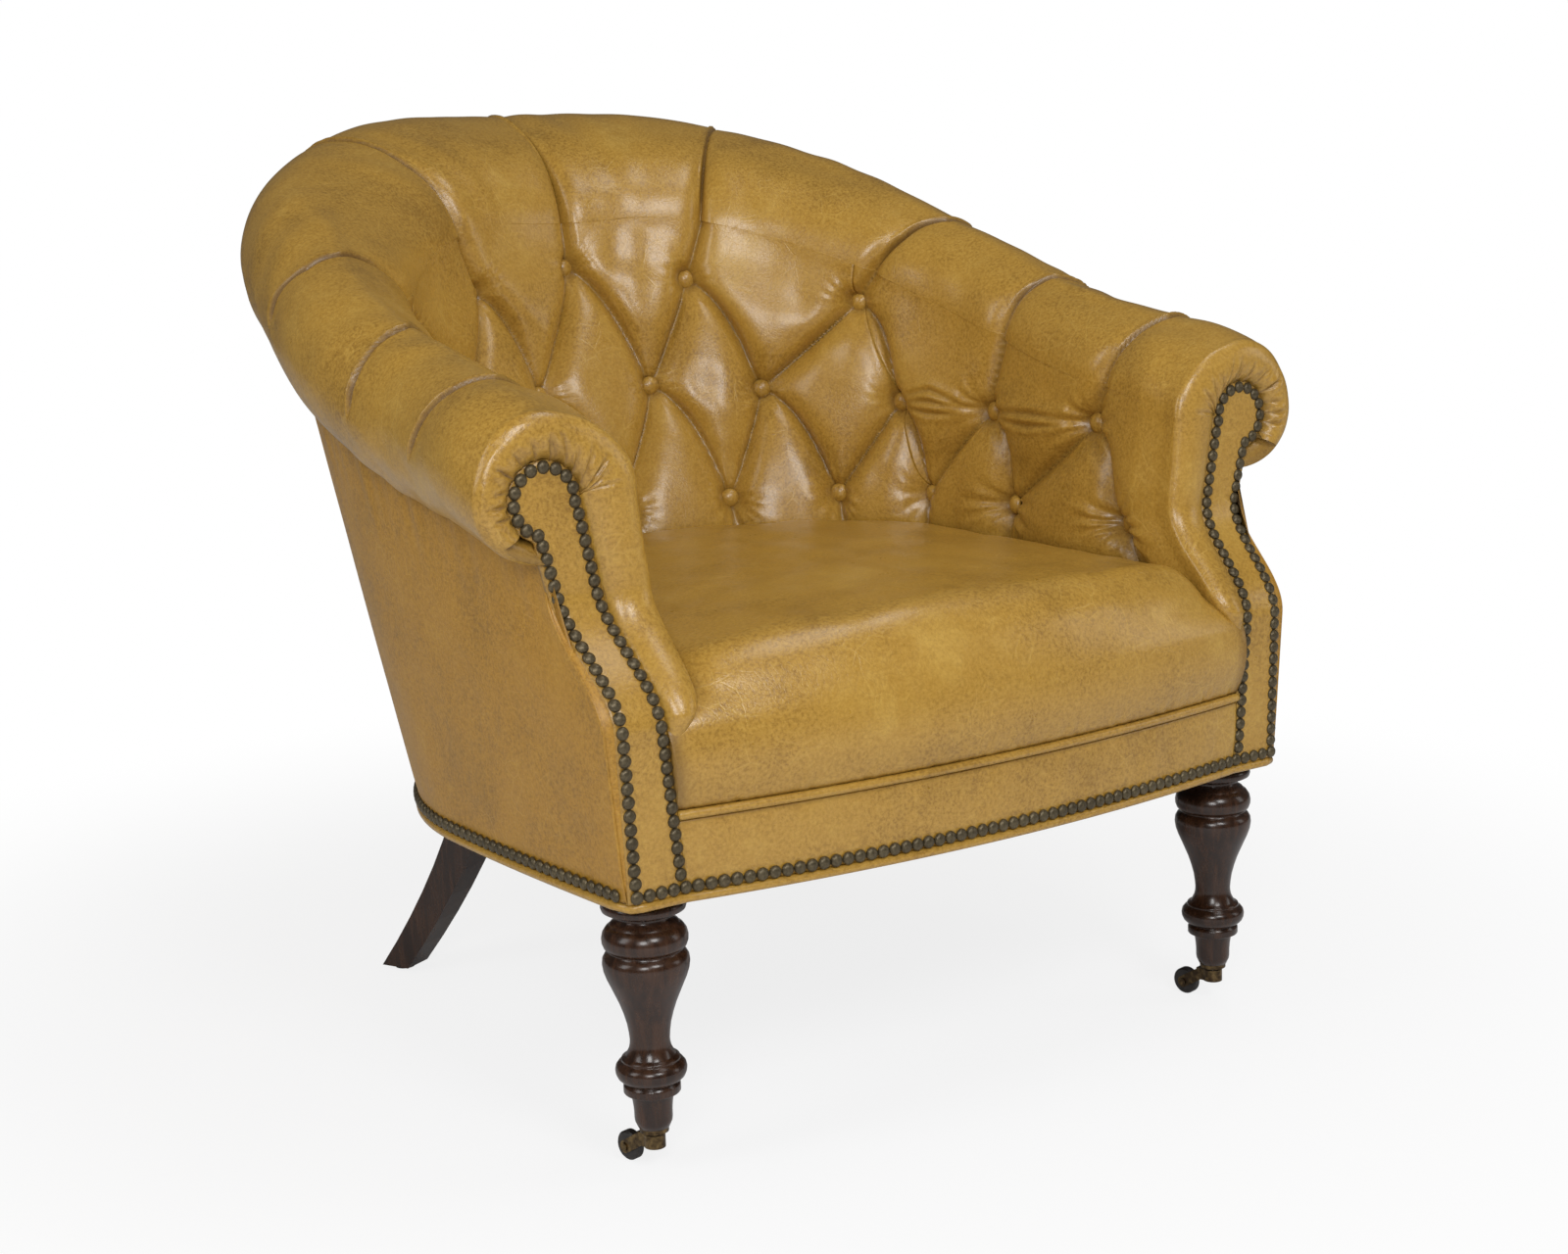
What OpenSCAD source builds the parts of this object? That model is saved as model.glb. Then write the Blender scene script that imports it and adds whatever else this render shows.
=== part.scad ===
// Tufted barrel-back accent chair on turned front legs with casters.
// Millimetres, +Z up, the front of the chair faces -Y.
// The origin is on the floor, at the middle of the space that the chair takes up.
// Distances "back" are measured from the axes of the front legs.

/* [Base] */
// Half the width of the body at its front corners
base_front_half = 353; // [345:1:362]
// How much wider each side is where the body is widest
base_flare = 14; // [8:1:30]
// How far back the sides start to curve round
base_turn = 240; // [200:5:280]
// How far back the base of the outside back is
base_rear = 570; // [555:5:610]
// How far the front rail bows forward of the front corners
front_bow = 28; // [10:1:45]
// Height of the underside of the frame
frame_z = 238; // [225:1:250]
// Height of the seat rails
rail_h = 78; // [66:1:84]
// Thickness of the seat rails
rail_t = 25; // [22:1:28]

/* [Arms and back] */
// How far the arm faces stand forward of the front legs, near the seat
face_low = 43; // [40:1:50]
// How far back the scrolls of the arm faces are
face_high = 25; // [15:1:35]
// Height where the arm faces start to sweep back
face_bend_z = 382; // [370:1:400]
// Height over which the arm faces sweep back
face_bend_h = 106; // [90:1:120]
// Thickness of the arm face panels
face_t = 4.5; // [3:0.5:5]
// Width between the two nail rows of an arm face
face_w = 42; // [38:1:44]
// Radius of the nail row round each scroll
scroll_r = 27; // [24:0.5:29]
// How far the crest of each arm is out past the front corner of the body
crest_front_flare = 21; // [17:1:29]
// How far it is out past it where the arms are widest
crest_flare = 43; // [35:1:57]
// How far back the arms start to curve round
crest_turn = 330; // [300:5:360]
// How far back the crest of the back is
crest_rear = 800; // [780:5:830]
// Height of the arm crest, behind the scroll
arm_z = 652; // [645:1:675]
// Height of the back crest
back_z = 873; // [850:1:900]
// How much lower the crest is at the front of the scroll
scroll_dip = 18; // [10:1:24]
// How far the roll stands out past its crest
roll_out = 61; // [56:1:68]
// How far the roll reaches in from its crest, on the arms
roll_in_arm = 64; // [60:1:68]
// How far the roll reaches in from its crest, on the back
roll_in_back = 121; // [110:1:130]
// How far the crest of the roll leans in over the middle of the arms
roll_lean = 30; // [20:1:32]
// How far the roll hangs down outside, on the arms
roll_drop_arm = 122; // [118:1:128]
// How far the roll hangs down outside, on the back
roll_drop_back = 160; // [150:1:175]
// How far down the roll is widest, on the back
roll_wide_back = 100; // [90:1:110]
// Thickness of the padding on the roll
roll_pad = 27; // [24:1:28]
// Depth of the pleats over the roll
pleat_depth = 6; // [3:0.5:9]

/* [Inside] */
// How far back the arms start to curve round inside
well_turn = 340; // [300:5:350]
// How far back the seat reaches
well_rear = 555; // [530:5:560]
// Depth of the deep-buttoned tufts
tuft_depth = 22; // [14:1:26]
// Padding behind the buttons
pad_back = 12; // [8:1:13]
// Diameter of the covered buttons
button_d = 21; // [16:1:24]

/* [Seat] */
// Height of the welted seam on the front of the seat
seam_z = 310; // [306:1:316]
// Height of the seat where it meets the arms and back
seat_edge_z = 428; // [422:1:436]
// How much the seat is crowned in the middle
seat_crown = 22; // [10:1:32]
// How far the front of the seat bulges past the rail
seat_bulge = 9; // [4:1:14]
// Thickness of the seat leather with its wadding
seat_cover_t = 4; // [3:0.5:6]

/* [Trim] */
// Diameter of the nail heads
nail_d = 10.6; // [9:0.1:10.8]
// Distance from nail to nail
nail_pitch = 11.1; // [11:0.1:13]
// Diameter of the welts
welt_d = 8; // [6:0.5:9]
// Thickness of the outside leather with its backing
skin_t = 3; // [2:0.5:4]

/* [Legs] */
// How far in from the front corners of the body the front legs are
leg_inset = 38; // [36:1:45]
// Largest diameter of the turned legs
leg_d = 72; // [64:1:76]
// Side of the rear legs at the top
rear_leg_top = 44; // [40:1:46]
// Side of the rear legs at the foot
rear_leg_foot = 33; // [28:1:36]
// How far the rear feet splay out sideways from the tops of the legs
rear_splay = 60; // [36:1:76]
// How far back the rear feet sweep from the tops of the legs
rear_sweep = 118; // [104:1:134]
// Diameter of the bolts and screws that hold the legs
bolt_d = 8; // [6:1:10]

/* [Casters] */
// Diameter of the caster wheels
wheel_d = 25.4; // [22:0.1:27]
// Width of the caster wheels
wheel_w = 9; // [7:0.5:11]
// Height of the caster, floor to the foot of the leg
caster_h = 37; // [36:0.5:42]
// Distance from the swivel to the axle
caster_trail = 30; // [29:0.5:34]
// How far the casters are turned from straight back
caster_turn = 12.7; // [0:0.1:30]
// Diameter of the swivel stem
stem_d = 8; // [6:0.5:9]
// Diameter of the wheel's axle
axle_d = 4; // [3:0.5:5]
// Radial clearance of the stem and of the wheel
running_fit = 0.05; // [0.02:0.01:0.09]

/* [Hidden] */
base_half = base_front_half + base_flare;
crest_front_half = base_front_half + crest_front_flare;
crest_half = base_front_half + crest_flare;
leg_half = base_front_half - leg_inset;

leather = [0.75, 0.57, 0.26];
leather_side = [0.70, 0.52, 0.23];
walnut = [0.24, 0.14, 0.10];
beech = [0.80, 0.65, 0.45];
antique = [0.36, 0.32, 0.24];
brass = [0.52, 0.45, 0.26];
steel = [0.55, 0.56, 0.58];
jute = [0.72, 0.62, 0.46];
foam = [0.93, 0.88, 0.70];
black = [0.09, 0.09, 0.09];

// Distance between pieces that lie against each other
gap = 0.3;
front_reach = face_low + front_bow + seat_bulge;
y0 = (front_reach - crest_rear - roll_out) / 2;
rail_top = frame_z + rail_h;
welt_z = frame_z + (welt_d - 1) / 2;
outside_z = welt_z + welt_d / 2 + gap;
nail_z = welt_z + (welt_d + nail_d) / 2 + gap;
frame_inset = max(skin_t + gap, welt_d / 2 + 0.6);

function clamp01(v) = max(0, min(1, v));
function mix(a, b, t) = a + (b - a) * t;
function ease(t) = (1 - cos(180 * clamp01(t))) / 2;
function arch(t) = sqrt(1 - pow(1 - clamp01(t), 2));
function unit(v) = v / norm(v);
function span(a, b, n) = [for (i = [0:n]) mix(a, b, i / n)];
function back_to_front(list) = [for (i = [len(list) - 1:-1:0]) list[i]];
function arc(cx, cy, r, a0, a1, n) = [for (a = span(a0, a1, n)) [cx + r * cos(a), cy + r * sin(a)]];
function bezier(a, b, c, d, n) = [for (t = span(0, 1, n))
    pow(1 - t, 3) * a + 3 * t * pow(1 - t, 2) * b + 3 * t * t * (1 - t) * c + pow(t, 3) * d];

// Thick sheets: two grids of points, joined round their edges
function quad(a, b, c, d) = [[a, b, c], [a, c, d]];
function sheet_faces(m, n) =
    let (w = n + 1, b = (m + 1) * w, e = m * w) concat(
        [for (i = [0:m - 1], j = [0:n - 1]) each
            quad(i * w + j, (i + 1) * w + j, (i + 1) * w + j + 1, i * w + j + 1)],
        [for (i = [0:m - 1], j = [0:n - 1]) each
            quad(b + i * w + j, b + i * w + j + 1, b + (i + 1) * w + j + 1, b + (i + 1) * w + j)],
        [for (i = [0:m - 1]) each quad((i + 1) * w, i * w, b + i * w, b + (i + 1) * w)],
        [for (i = [0:m - 1]) each quad(i * w + n, (i + 1) * w + n, b + (i + 1) * w + n, b + i * w + n)],
        [for (j = [0:n - 1]) each quad(j, j + 1, b + j + 1, b + j)],
        [for (j = [0:n - 1]) each quad(e + j + 1, e + j, b + e + j, b + e + j + 1)]);
module sheet(outer, inner)
    polyhedron([for (row = concat(outer, inner)) each row],
        sheet_faces(len(outer) - 1, len(outer[0]) - 1), convexity = 8);

// Cords: rings of points round a level path
cord_sides = 8;
function ring(path, i, r, closed) =
    let (n = len(path), a = path[closed ? (i + n - 1) % n : max(i - 1, 0)],
         b = path[closed ? (i + 1) % n : min(i + 1, n - 1)], t = unit([b[0] - a[0], b[1] - a[1]]))
    [for (k = [0:cord_sides - 1]) let (g = 360 * (k + 0.5) / cord_sides)
        path[i] + r * [t[1] * cos(g), -t[0] * cos(g), sin(g)]];
function ring_faces(n, closed) =
    [for (i = [0:closed ? n - 1 : n - 2], k = [0:cord_sides - 1])
        let (c = i * cord_sides, d = (i + 1) % n * cord_sides, l = (k + 1) % cord_sides)
        each quad(c + k, c + l, d + l, d + k)];
module cord(path, r, closed = false) {
    n = len(path);
    ends = closed ? [] : [[for (k = [cord_sides - 1:-1:0]) k],
                          [for (k = [0:cord_sides - 1]) (n - 1) * cord_sides + k]];
    polyhedron([for (i = [0:n - 1]) each ring(path, i, r, closed)],
        concat(ring_faces(n, closed), ends), convexity = 8);
}

// Walking along a path in equal steps
function lengths(p) = [for (i = 0, l = 0; i < len(p);
    l = l + (i + 1 < len(p) ? norm(p[i + 1] - p[i]) : 0), i = i + 1) l];
function walk(p, pitch) =
    let (d = lengths(p), whole = d[len(d) - 1], n = floor(whole / pitch),
         tables = [for (c = [0:len(p[0]) - 1]) [for (i = [0:len(p) - 1]) [d[i], p[i][c]]]])
    [for (k = [0:n]) [for (table = tables) lookup(whole * k / n, table)]];

// Plan curves run from the front of an arm, s = 0, to the middle of the back, s = 1
side_share = 0.31;
function turn_angle(s) = 90 * (s - side_share) / (1 - side_share);
function plan(s, front, half, yf, turn, rear) =
    s <= side_share
        ? let (u = s / side_share) [mix(front, half, sin(90 * u)), mix(yf, turn, u)]
        : [half * cos(turn_angle(s)), turn + (rear - turn) * sin(turn_angle(s))];
function way_out(s) = s <= side_share ? [1, 0] : [cos(turn_angle(s)), sin(turn_angle(s))];
// t runs from -1 at the left arm, through 0 at the back, to 1 at the right arm
function sided(t, p, z) = [(t < 0 ? -1 : 1) * p[0], p[1] + y0, z];
function face_y(z) = mix(-face_low, face_high, ease((z - face_bend_z) / face_bend_h));

function crest_z(s) = arm_z + (back_z - arm_z) * ease((s - 0.02) / 0.88)
    - scroll_dip * pow(1 - clamp01(s / 0.1), 2);
function crest_plan(s, out, f = face_high) =
    plan(s, crest_front_half + out, crest_half + out, f, crest_turn, crest_rear + out);
function roll_in(s) = mix(roll_in_arm, roll_in_back, ease((s - 0.25) / 0.75));
function roll_fall(s) = roll_in(s) + mix(4, -4, ease((s - 0.25) / 0.75));
function to_back(s) = ease((s - 0.45) / 0.5);
function roll_drop(s) = mix(roll_drop_arm, roll_drop_back, to_back(s));
function roll_wide(s) = mix(roll_in_arm + 4, roll_wide_back, to_back(s));
function lean(s) = roll_lean * ease(s / 0.2) * ease((0.64 - s) / 0.22);
function under_z(s) = crest_z(s) - roll_drop(s);
function inner_top_z(s) = crest_z(s) - roll_fall(s);

// The base line, some distance in from the leather
function base_point(s, in, f = -face_low) =
    plan(s, base_front_half - in, base_half - in, f, base_turn, base_rear - in);
// The outside of the body between the base and the underside of the roll
function out_plan(s, z) =
    let (f = face_y(z)) mix(base_point(s, 0, f), crest_plan(s, 0, f), (z - outside_z) / (under_z(s) - outside_z));
// The inside of the body at the depth of the buttons
function in_plan(s, z) =
    let (f = face_y(z)) mix(plan(s, well_half - 1, well_half, f, well_turn, well_rear),
        crest_plan(s, 0, f) - way_out(s) * roll_in(s), (z - seat_edge_z) / (inner_top_z(s) - seat_edge_z));
function through(s, z, d) = out_plan(s, z) - d * unit(out_plan(s, z) - in_plan(s, z));
function from_inside(s, z, d) = in_plan(s, z) + d * unit(out_plan(s, z) - in_plan(s, z));

// Sections of the roll: q = 0 under its outside, 1 at its widest, 2 at its crest, 3 down its inside
function roll_xz(s, q, pad) =
    let (wide = roll_wide(s), fall = roll_fall(s), l = lean(s))
    q < 1 ? [(roll_out - l - pad) * sin(90 * q), -wide - (roll_drop(s) - wide - pad) * cos(90 * q)]
    : q < 2 ? [(roll_out - pad) * cos(90 * (q - 1)) - l, -wide + (wide - pad) * sin(90 * (q - 1))]
    : [(l + pad - roll_in(s)) * sin(90 * (q - 2)) - l, -fall + (fall - pad) * cos(90 * (q - 2))];
function roll_point(t, q, pad, forward = 0) =
    let (s = 1 - abs(t), r = roll_xz(s, q, pad))
    sided(t, crest_plan(s, 0) + way_out(s) * r[0] - [0, forward], crest_z(s) + r[1]);

// The nail rows of an arm face, and the edge of its panel outside them
scroll_x = crest_front_half - 2;
scroll_z = arm_z - scroll_dip - roll_in_arm - 8;
nail_edge = nail_d / 2 + 0.4;
face_out_foot = base_front_half - 7;
well_half = face_out_foot - face_w + 1;
face_out_head = scroll_x + 5;
function low_face(z) = clamp01((z - nail_z) / (face_bend_z - nail_z));
function face_out_x(z) =
    mix(face_out_foot, face_out_foot + 5, low_face(z))
    + (face_out_head - face_out_foot - 5) * pow(clamp01((z - face_bend_z) / (scroll_z - 30 - face_bend_z)), 1.6);
function face_in_x(z) =
    mix(face_out_foot - face_w, face_out_foot - face_w + 12, low_face(z))
    + (scroll_x - scroll_r - face_out_foot + face_w - 12) * pow(clamp01((z - face_bend_z) / (scroll_z - face_bend_z)), 1.3);
panel_r = scroll_r + nail_edge;
function disc_half(z) = sqrt(max(0, panel_r * panel_r - pow(z - scroll_z, 2)));
function panel_out_x(z) = z > scroll_z ? scroll_x + disc_half(z)
    : max(face_out_x(z) + nail_edge, disc_half(z) > 0 ? scroll_x + disc_half(z) : 0);
function panel_in_x(z) = z > scroll_z ? scroll_x - disc_half(z) : face_in_x(z) - nail_edge;

face_levels = concat([outside_z], span(nail_z + 40, face_bend_z, 2),
    span(face_bend_z + 8, scroll_z - 36, 15), [for (a = span(-66, 78, 12)) scroll_z + panel_r * sin(a)]);

// The front of the rail and of the arm faces
panel_foot_in = face_out_foot - face_w - nail_edge;
function front_y(x) = abs(x) < panel_foot_in
    ? -face_low - front_bow * (1 - pow(x / panel_foot_in, 2)) : -face_low;

// Frame
module rail(t0, t1, steps)
    translate([0, y0, frame_z]) linear_extrude(rail_h) polygon(concat(
        [for (t = span(t0, t1, steps)) let (p = base_point(1 - abs(t), frame_inset)) [sign(t) * p[0], p[1]]],
        [for (t = span(t1, t0, steps)) let (p = base_point(1 - abs(t), frame_inset + rail_t)) [sign(t) * p[0], p[1]]]));
block_w = 60;
block_in = leg_half - block_w / 2;
stump_t = 16;
block_front = face_t + stump_t + 3 * gap - face_low;
module front_rail() color(beech) translate([0, y0, frame_z]) linear_extrude(rail_h) polygon(concat(
    [for (x = span(-block_in, block_in, 20)) [x, front_y(x) + frame_inset]],
    [for (x = span(block_in, -block_in, 20)) [x, front_y(x) + frame_inset + rail_t]]));
rail_start = 1 - side_share * (block_front + block_w + gap + face_low) / (base_turn + face_low);
rail_split = 0.44;
module right_side_rail() color(beech) rail(rail_split, rail_start, 12);
module left_side_rail() mirror([1, 0, 0]) right_side_rail();
module rear_rail() color(beech) rail(-rail_split, rail_split, 28);

leg_bolt_up = 40;
leg_bolt_down = 35;
bolt_bore_d = bolt_d + 2 * running_fit;
module right_front_block() color(beech) difference() {
    translate([block_in, y0 + block_front, frame_z])
        cube([base_front_half - frame_inset - 3 - block_in, block_w, rail_h - 18]);
    translate([leg_half, y0, frame_z - 1]) cylinder(d = bolt_bore_d, h = leg_bolt_up + 2, $fn = 32);
}
module left_front_block() mirror([1, 0, 0]) right_front_block();

rear_leg_s = 0.72;
rear_leg_in = frame_inset + rail_t * 0.88;
rear_bolt_in = frame_inset + rail_t / 2;
function rear_leg_place(in) = base_point(rear_leg_s, in);
module both_sides() {
    children();
    mirror([1, 0, 0]) children();
}
module rear_leg_blocks() color(beech) both_sides() translate([0, y0, frame_z])
    linear_extrude(rail_h - 18) polygon(concat(
        [for (s = span(rear_leg_s - 0.06, rear_leg_s + 0.06, 4)) base_point(s, frame_inset + rail_t + gap)],
        [for (s = span(rear_leg_s + 0.06, rear_leg_s - 0.06, 4)) base_point(s, frame_inset + rail_t + 36)]));

// Uprights behind the arm faces
stump_levels = [for (z = face_levels) if (z < scroll_z + 16) z];
module right_arm_stump() color(beech) sheet(
    [for (e = [0, 1]) [for (z = stump_levels) stump_point(e, z, face_t + gap + stump_t)]],
    [for (e = [0, 1]) [for (z = stump_levels) stump_point(e, z, face_t + gap)]]);
function stump_out_x(z) = min(panel_out_x(z) - 8, scroll_x - 2 + 18 * ease((z - scroll_z + 18) / 14));
function stump_point(e, z, d) = sided(1, [mix(panel_in_x(z) + 2, stump_out_x(z), e), face_y(z) + d], z);
module left_arm_stump() mirror([1, 0, 0]) right_arm_stump();

// Bars inside the roll
bar_half = 9;
bar_seat = 4.5;
bar_lean = 0.7;
function bar_top(s) = crest_z(s) - roll_pad - bar_seat - (roll_wide(s) - roll_pad)
    * (1 - sqrt(1 - pow((bar_half + (1 - bar_lean) * lean(s)) / (roll_out - roll_pad), 2)));
function bar_foot(s) = under_z(s) + roll_pad + 8;
function bar_side(ts, out) = [for (t = ts) let (s = 1 - abs(t), p = crest_plan(s, out - bar_lean * lean(s)))
    [sided(t, p, bar_foot(s)), sided(t, p, bar_top(s))]];
module bar(ts) sheet(bar_side(ts, bar_half), bar_side(ts, -bar_half));
arm_split = 0.54;
split_gap = 0.0004;
bar_start = 1 - side_share * (face_t + stump_t + 4 * gap) / (crest_turn - face_high);
module right_arm_rail() color(beech) bar(span(arm_split + split_gap, bar_start, 12));
module left_arm_rail() mirror([1, 0, 0]) right_arm_rail();
module top_rail() color(beech) bar(span(-arm_split, arm_split, 24));

// Posts from the rear rail up to the top rail
post_ts = [-0.40, -0.065, 0.065, 0.40];
post_half = 0.035;
post_top_in = skin_t + 3;
module back_posts() color(beech) for (t = post_ts)
    sheet([for (e = [-post_half, post_half]) post_edge(t + e, frame_inset + 0.5, -post_top_in)],
        [for (e = [-post_half, post_half]) post_edge(t + e, frame_inset + rail_t - 1, 2 - post_top_in - rail_t)]);
function post_edge(t, in, out) = let (s = 1 - abs(t))
    [sided(t, base_point(s, in), rail_top), sided(t, crest_plan(s, out), bar_foot(s) - 2 * gap)];

// Springs across the seat, with a clip at each end
wire = 3.5;
spring_xs = [-200, -100, 0, 100, 200];
spring_wave = 20;
spring_pitch = 48;
function spring_front(x) = front_y(x) + frame_inset + rail_t / 2;
function spring_rear(x) = base_turn + (base_rear - frame_inset - rail_t / 2 - base_turn)
    * sqrt(1 - pow(x / (base_half - frame_inset - rail_t / 2), 2));
function spring_mid(x, v) = let (l = spring_rear(x) - spring_front(x), waves = round(l / spring_pitch))
    [x + spring_wave * sin(360 * waves * v) * ease((min(v, 1 - v) * l - clip_l - 4) / 24), spring_front(x) + l * v];
function spring_side(x, v, d) = let (e = 0.002, a = spring_mid(x, v - e), b = spring_mid(x, v + e), w = unit(b - a))
    spring_mid(x, v) + d * [w[1], -w[0]];
module seat_springs() color(steel) translate([0, y0, rail_top + gap]) for (x = spring_xs)
    linear_extrude(wire) polygon(concat(
        [for (v = span(0, 1, 88)) spring_side(x, v, wire / 2)],
        [for (v = span(1, 0, 88)) spring_side(x, v, -wire / 2)]));
clip_l = 9;
module spring_clip(x, y) translate([x, y + y0, rail_top]) difference() {
    translate([-6, -clip_l / 2, 0]) cube([12, clip_l, wire + 4 * gap]);
    translate([-wire / 2 - 2 * gap, -clip_l, -1]) cube([wire + 4 * gap, 2 * clip_l, wire + 2 * gap + 1]);
}
module spring_clips() color(steel) for (x = spring_xs) {
    spring_clip(x, spring_front(x) + clip_l / 2 + 1);
    spring_clip(x, spring_rear(x) - clip_l / 2 - 1);
}
deck_t = 2;
deck_z = rail_top + wire + 2 * gap;
module seat_deck() color(jute) translate([0, y0, deck_z]) linear_extrude(deck_t) polygon(concat(
    [for (x = span(-seat_side + 4, seat_side - 4, 20)) [x, front_y(x) + frame_inset + rail_t + 1]],
    [for (a = span(0, 90, 12)) deck_rear(a)],
    [for (a = span(90, 0, 12)) let (p = deck_rear(a)) [-p[0], p[1]]]));
function deck_rear(a) = [(seat_side - 4) * cos(a),
    well_turn + (base_rear - frame_inset - rail_t - 3 - well_turn) * sin(a) * 0.93];

// Seat: a crowned cover over a block of foam
seat_side = well_half - 2;
pad_foot_z = seat_edge_z - 24;
seat_half = well_half - tuft_depth - 1;
seat_rear = well_rear - tuft_depth - 6;
seat_over = 60;
bulge_z = seam_z + 40;
function seat_w(y) = y < well_turn ? seat_half
    : seat_half * sqrt(max(0, 1 - pow((y - well_turn) / (seat_rear - well_turn), 2)));
function seat_top(u, y) = seat_edge_z - 4 + (seat_crown + 4) * sqrt(1 - u * u)
    * sqrt(1 - 0.8 * pow(clamp01((y - well_turn) / (seat_rear - well_turn)), 2));
seat_turn_end = 78;
function seat_line(b, y1) = b < 0.6 ? mix(y1, well_turn, b / 0.6)
    : well_turn + (seat_rear - well_turn) * sin(seat_turn_end * (b - 0.6) / 0.4);
function seat_tuck(u) = 14 * pow(clamp01((abs(u) - 0.9) / 0.1), 2);
// v runs from the seam, 0, over the bulge, 0.2, and the front edge, 0.5, to the back, 1
function seat_spot(u, v) =
    v < 0.2 ? let (a = v / 0.2, x = u * seat_side)
        [x, front_y(x) - seat_bulge * sin(90 * a), mix(seam_z + welt_d / 2 + gap, bulge_z, a)]
    : v < 0.5 ? let (a = 90 * (v - 0.2) / 0.3, top = seat_top(u, 0) - seat_tuck(u),
                     z = bulge_z + (top - bulge_z) * sin(a), x = u * seat_x(z))
        [x, front_y(u * seat_side) - seat_bulge + seat_over * (1 - cos(a)), z]
    : let (b = (v - 0.5) / 0.5, y = seat_line(b, front_y(u * seat_side) - seat_bulge + seat_over))
        [u * seat_w(y), y, seat_top(u, y) - seat_tuck(u) - 10 * pow(clamp01((b - 0.92) / 0.08), 2)];
function seat_x(z) = mix(seat_side, seat_half, ease((z - pad_foot_z + 30) / 26));
// The same spot, some depth under the leather
function seat_under(u, v, d) = let (p = seat_spot(u, v), k = v < 0.2 ? 0 : 90 * clamp01((v - 0.2) / 0.3))
    [p[0] * (1 - 0.2 * d / seat_side), p[1] + y0 + d * cos(k), p[2] - d * sin(k)];
seat_us = [-1, -0.97, -0.9, -0.75, -0.5, -0.25, 0, 0.25, 0.5, 0.75, 0.9, 0.97, 1];
seat_vs = [0, 0.1, 0.2, 0.26, 0.32, 0.38, 0.44, 0.5, 0.6, 0.7, 0.8, 0.86, 0.92, 0.96, 1];
function seat_grid(d) = [for (v = seat_vs) [for (u = seat_us) seat_under(u, v, d)]];
module seat_cover() color(leather) sheet(seat_grid(0), seat_grid(seat_cover_t));
foam_z = deck_z + deck_t + gap;
function foam_top(u, v) = let (p = seat_under(u, v, seat_cover_t + gap)) [p[0], p[1], max(p[2], foam_z + 6)];
function foam_foot(u, v) = let (p = foam_top(u, v), i = min(v, 0.5) / 0.5)
    [p[0] * 0.98, v < 0.5 ? mix(foam_top(u, 0)[1] + 8, foam_top(u, 0.5)[1], i) : p[1], foam_z];
module seat_foam() color(foam) sheet([for (v = seat_vs) [for (u = seat_us) foam_top(u, v)]],
    [for (v = seat_vs) [for (u = seat_us) foam_foot(u, v)]]);

// Front band, seat welt and base welt
band_half = panel_foot_in - 1;
band_top = seam_z - welt_d / 2 - gap;
function band_side(d) = [for (x = span(band_half, -band_half, 24)) [for (z = [outside_z, band_top])
    [x, front_y(x) + y0 + d, z]]];
module front_band() color(leather) sheet(band_side(0), band_side(skin_t));
module seat_welt() color(leather)
    cord([for (x = span(-band_half, band_half, 24)) [x, front_y(x) + y0, seam_z]], welt_d / 2);
base_turns = 40;
corner_r = 8;
module base_welt() color(leather) cord(concat(
    [for (x = span(-base_front_half + corner_r + 4, base_front_half - corner_r - 4, 26)) [x, front_y(x) + y0, welt_z]],
    [[base_front_half - corner_r / 2, corner_r / 3 - face_low + y0, welt_z]],
    [for (t = span(0.975, -0.975, 2 * base_turns)) sided(t, base_point(1 - abs(t), 0), welt_z)],
    [[corner_r / 2 - base_front_half, corner_r / 3 - face_low + y0, welt_z]]), welt_d / 2, true);

dust_t = 1.4;
module dust_cover() color(black) difference() {
    translate([0, y0, frame_z - dust_t - gap]) linear_extrude(dust_t) polygon(concat(
        [for (x = span(-base_front_half + 12, base_front_half - 12, 24)) [x, front_y(x) + 9]],
        [for (t = span(0.96, -0.96, 48)) let (p = base_point(1 - abs(t), 9)) [sign(t) * p[0], p[1]]]));
    both_sides() {
        translate([leg_half, y0, 0]) cylinder(r = leg_neck_r + 1, h = frame_z, $fn = 48);
        translate([rear_leg_place(rear_leg_in)[0], rear_leg_place(rear_leg_in)[1] + y0, 0])
            cylinder(r = rear_leg_top * 0.71 + 2, h = frame_z, $fn = 48);
    }
}

// Tufts: the rows of buttons, each as places round the inside
seat_row = [0, 0.19, 0.381, 0.572, 0.748, 0.916];
mid_row = [0.103, 0.2875, 0.524, 0.70, 0.863];
top_row = [0, 0.207, 0.475];
seat_row_up = 30;
function seat_row_z(t) = seat_edge_z + seat_row_up;
function mid_row_z(t) = mix(seat_edge_z + 122, seat_edge_z + 154, ease((0.7 - abs(t)) / 0.7));
top_row_drop = [[0, 48], [0.207, 67], [0.475, 45]];
function top_row_z(t) = inner_top_z(1 - abs(t)) - lookup(abs(t), top_row_drop);
inside_run = 790;
roll_pleats = [0, 0.26, 0.54, 0.72, 0.90];
function spot(t, z) = [t * inside_run, z];
buttons = concat([for (t = seat_row) [t, seat_row_z(t)]], [for (t = mid_row) [t, mid_row_z(t)]],
    [for (t = top_row) [t, top_row_z(t)]]);
function link(a, b) = [spot(a[0], a[1]), spot(b[0], b[1])];
function row_button(k) = buttons[k];
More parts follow.
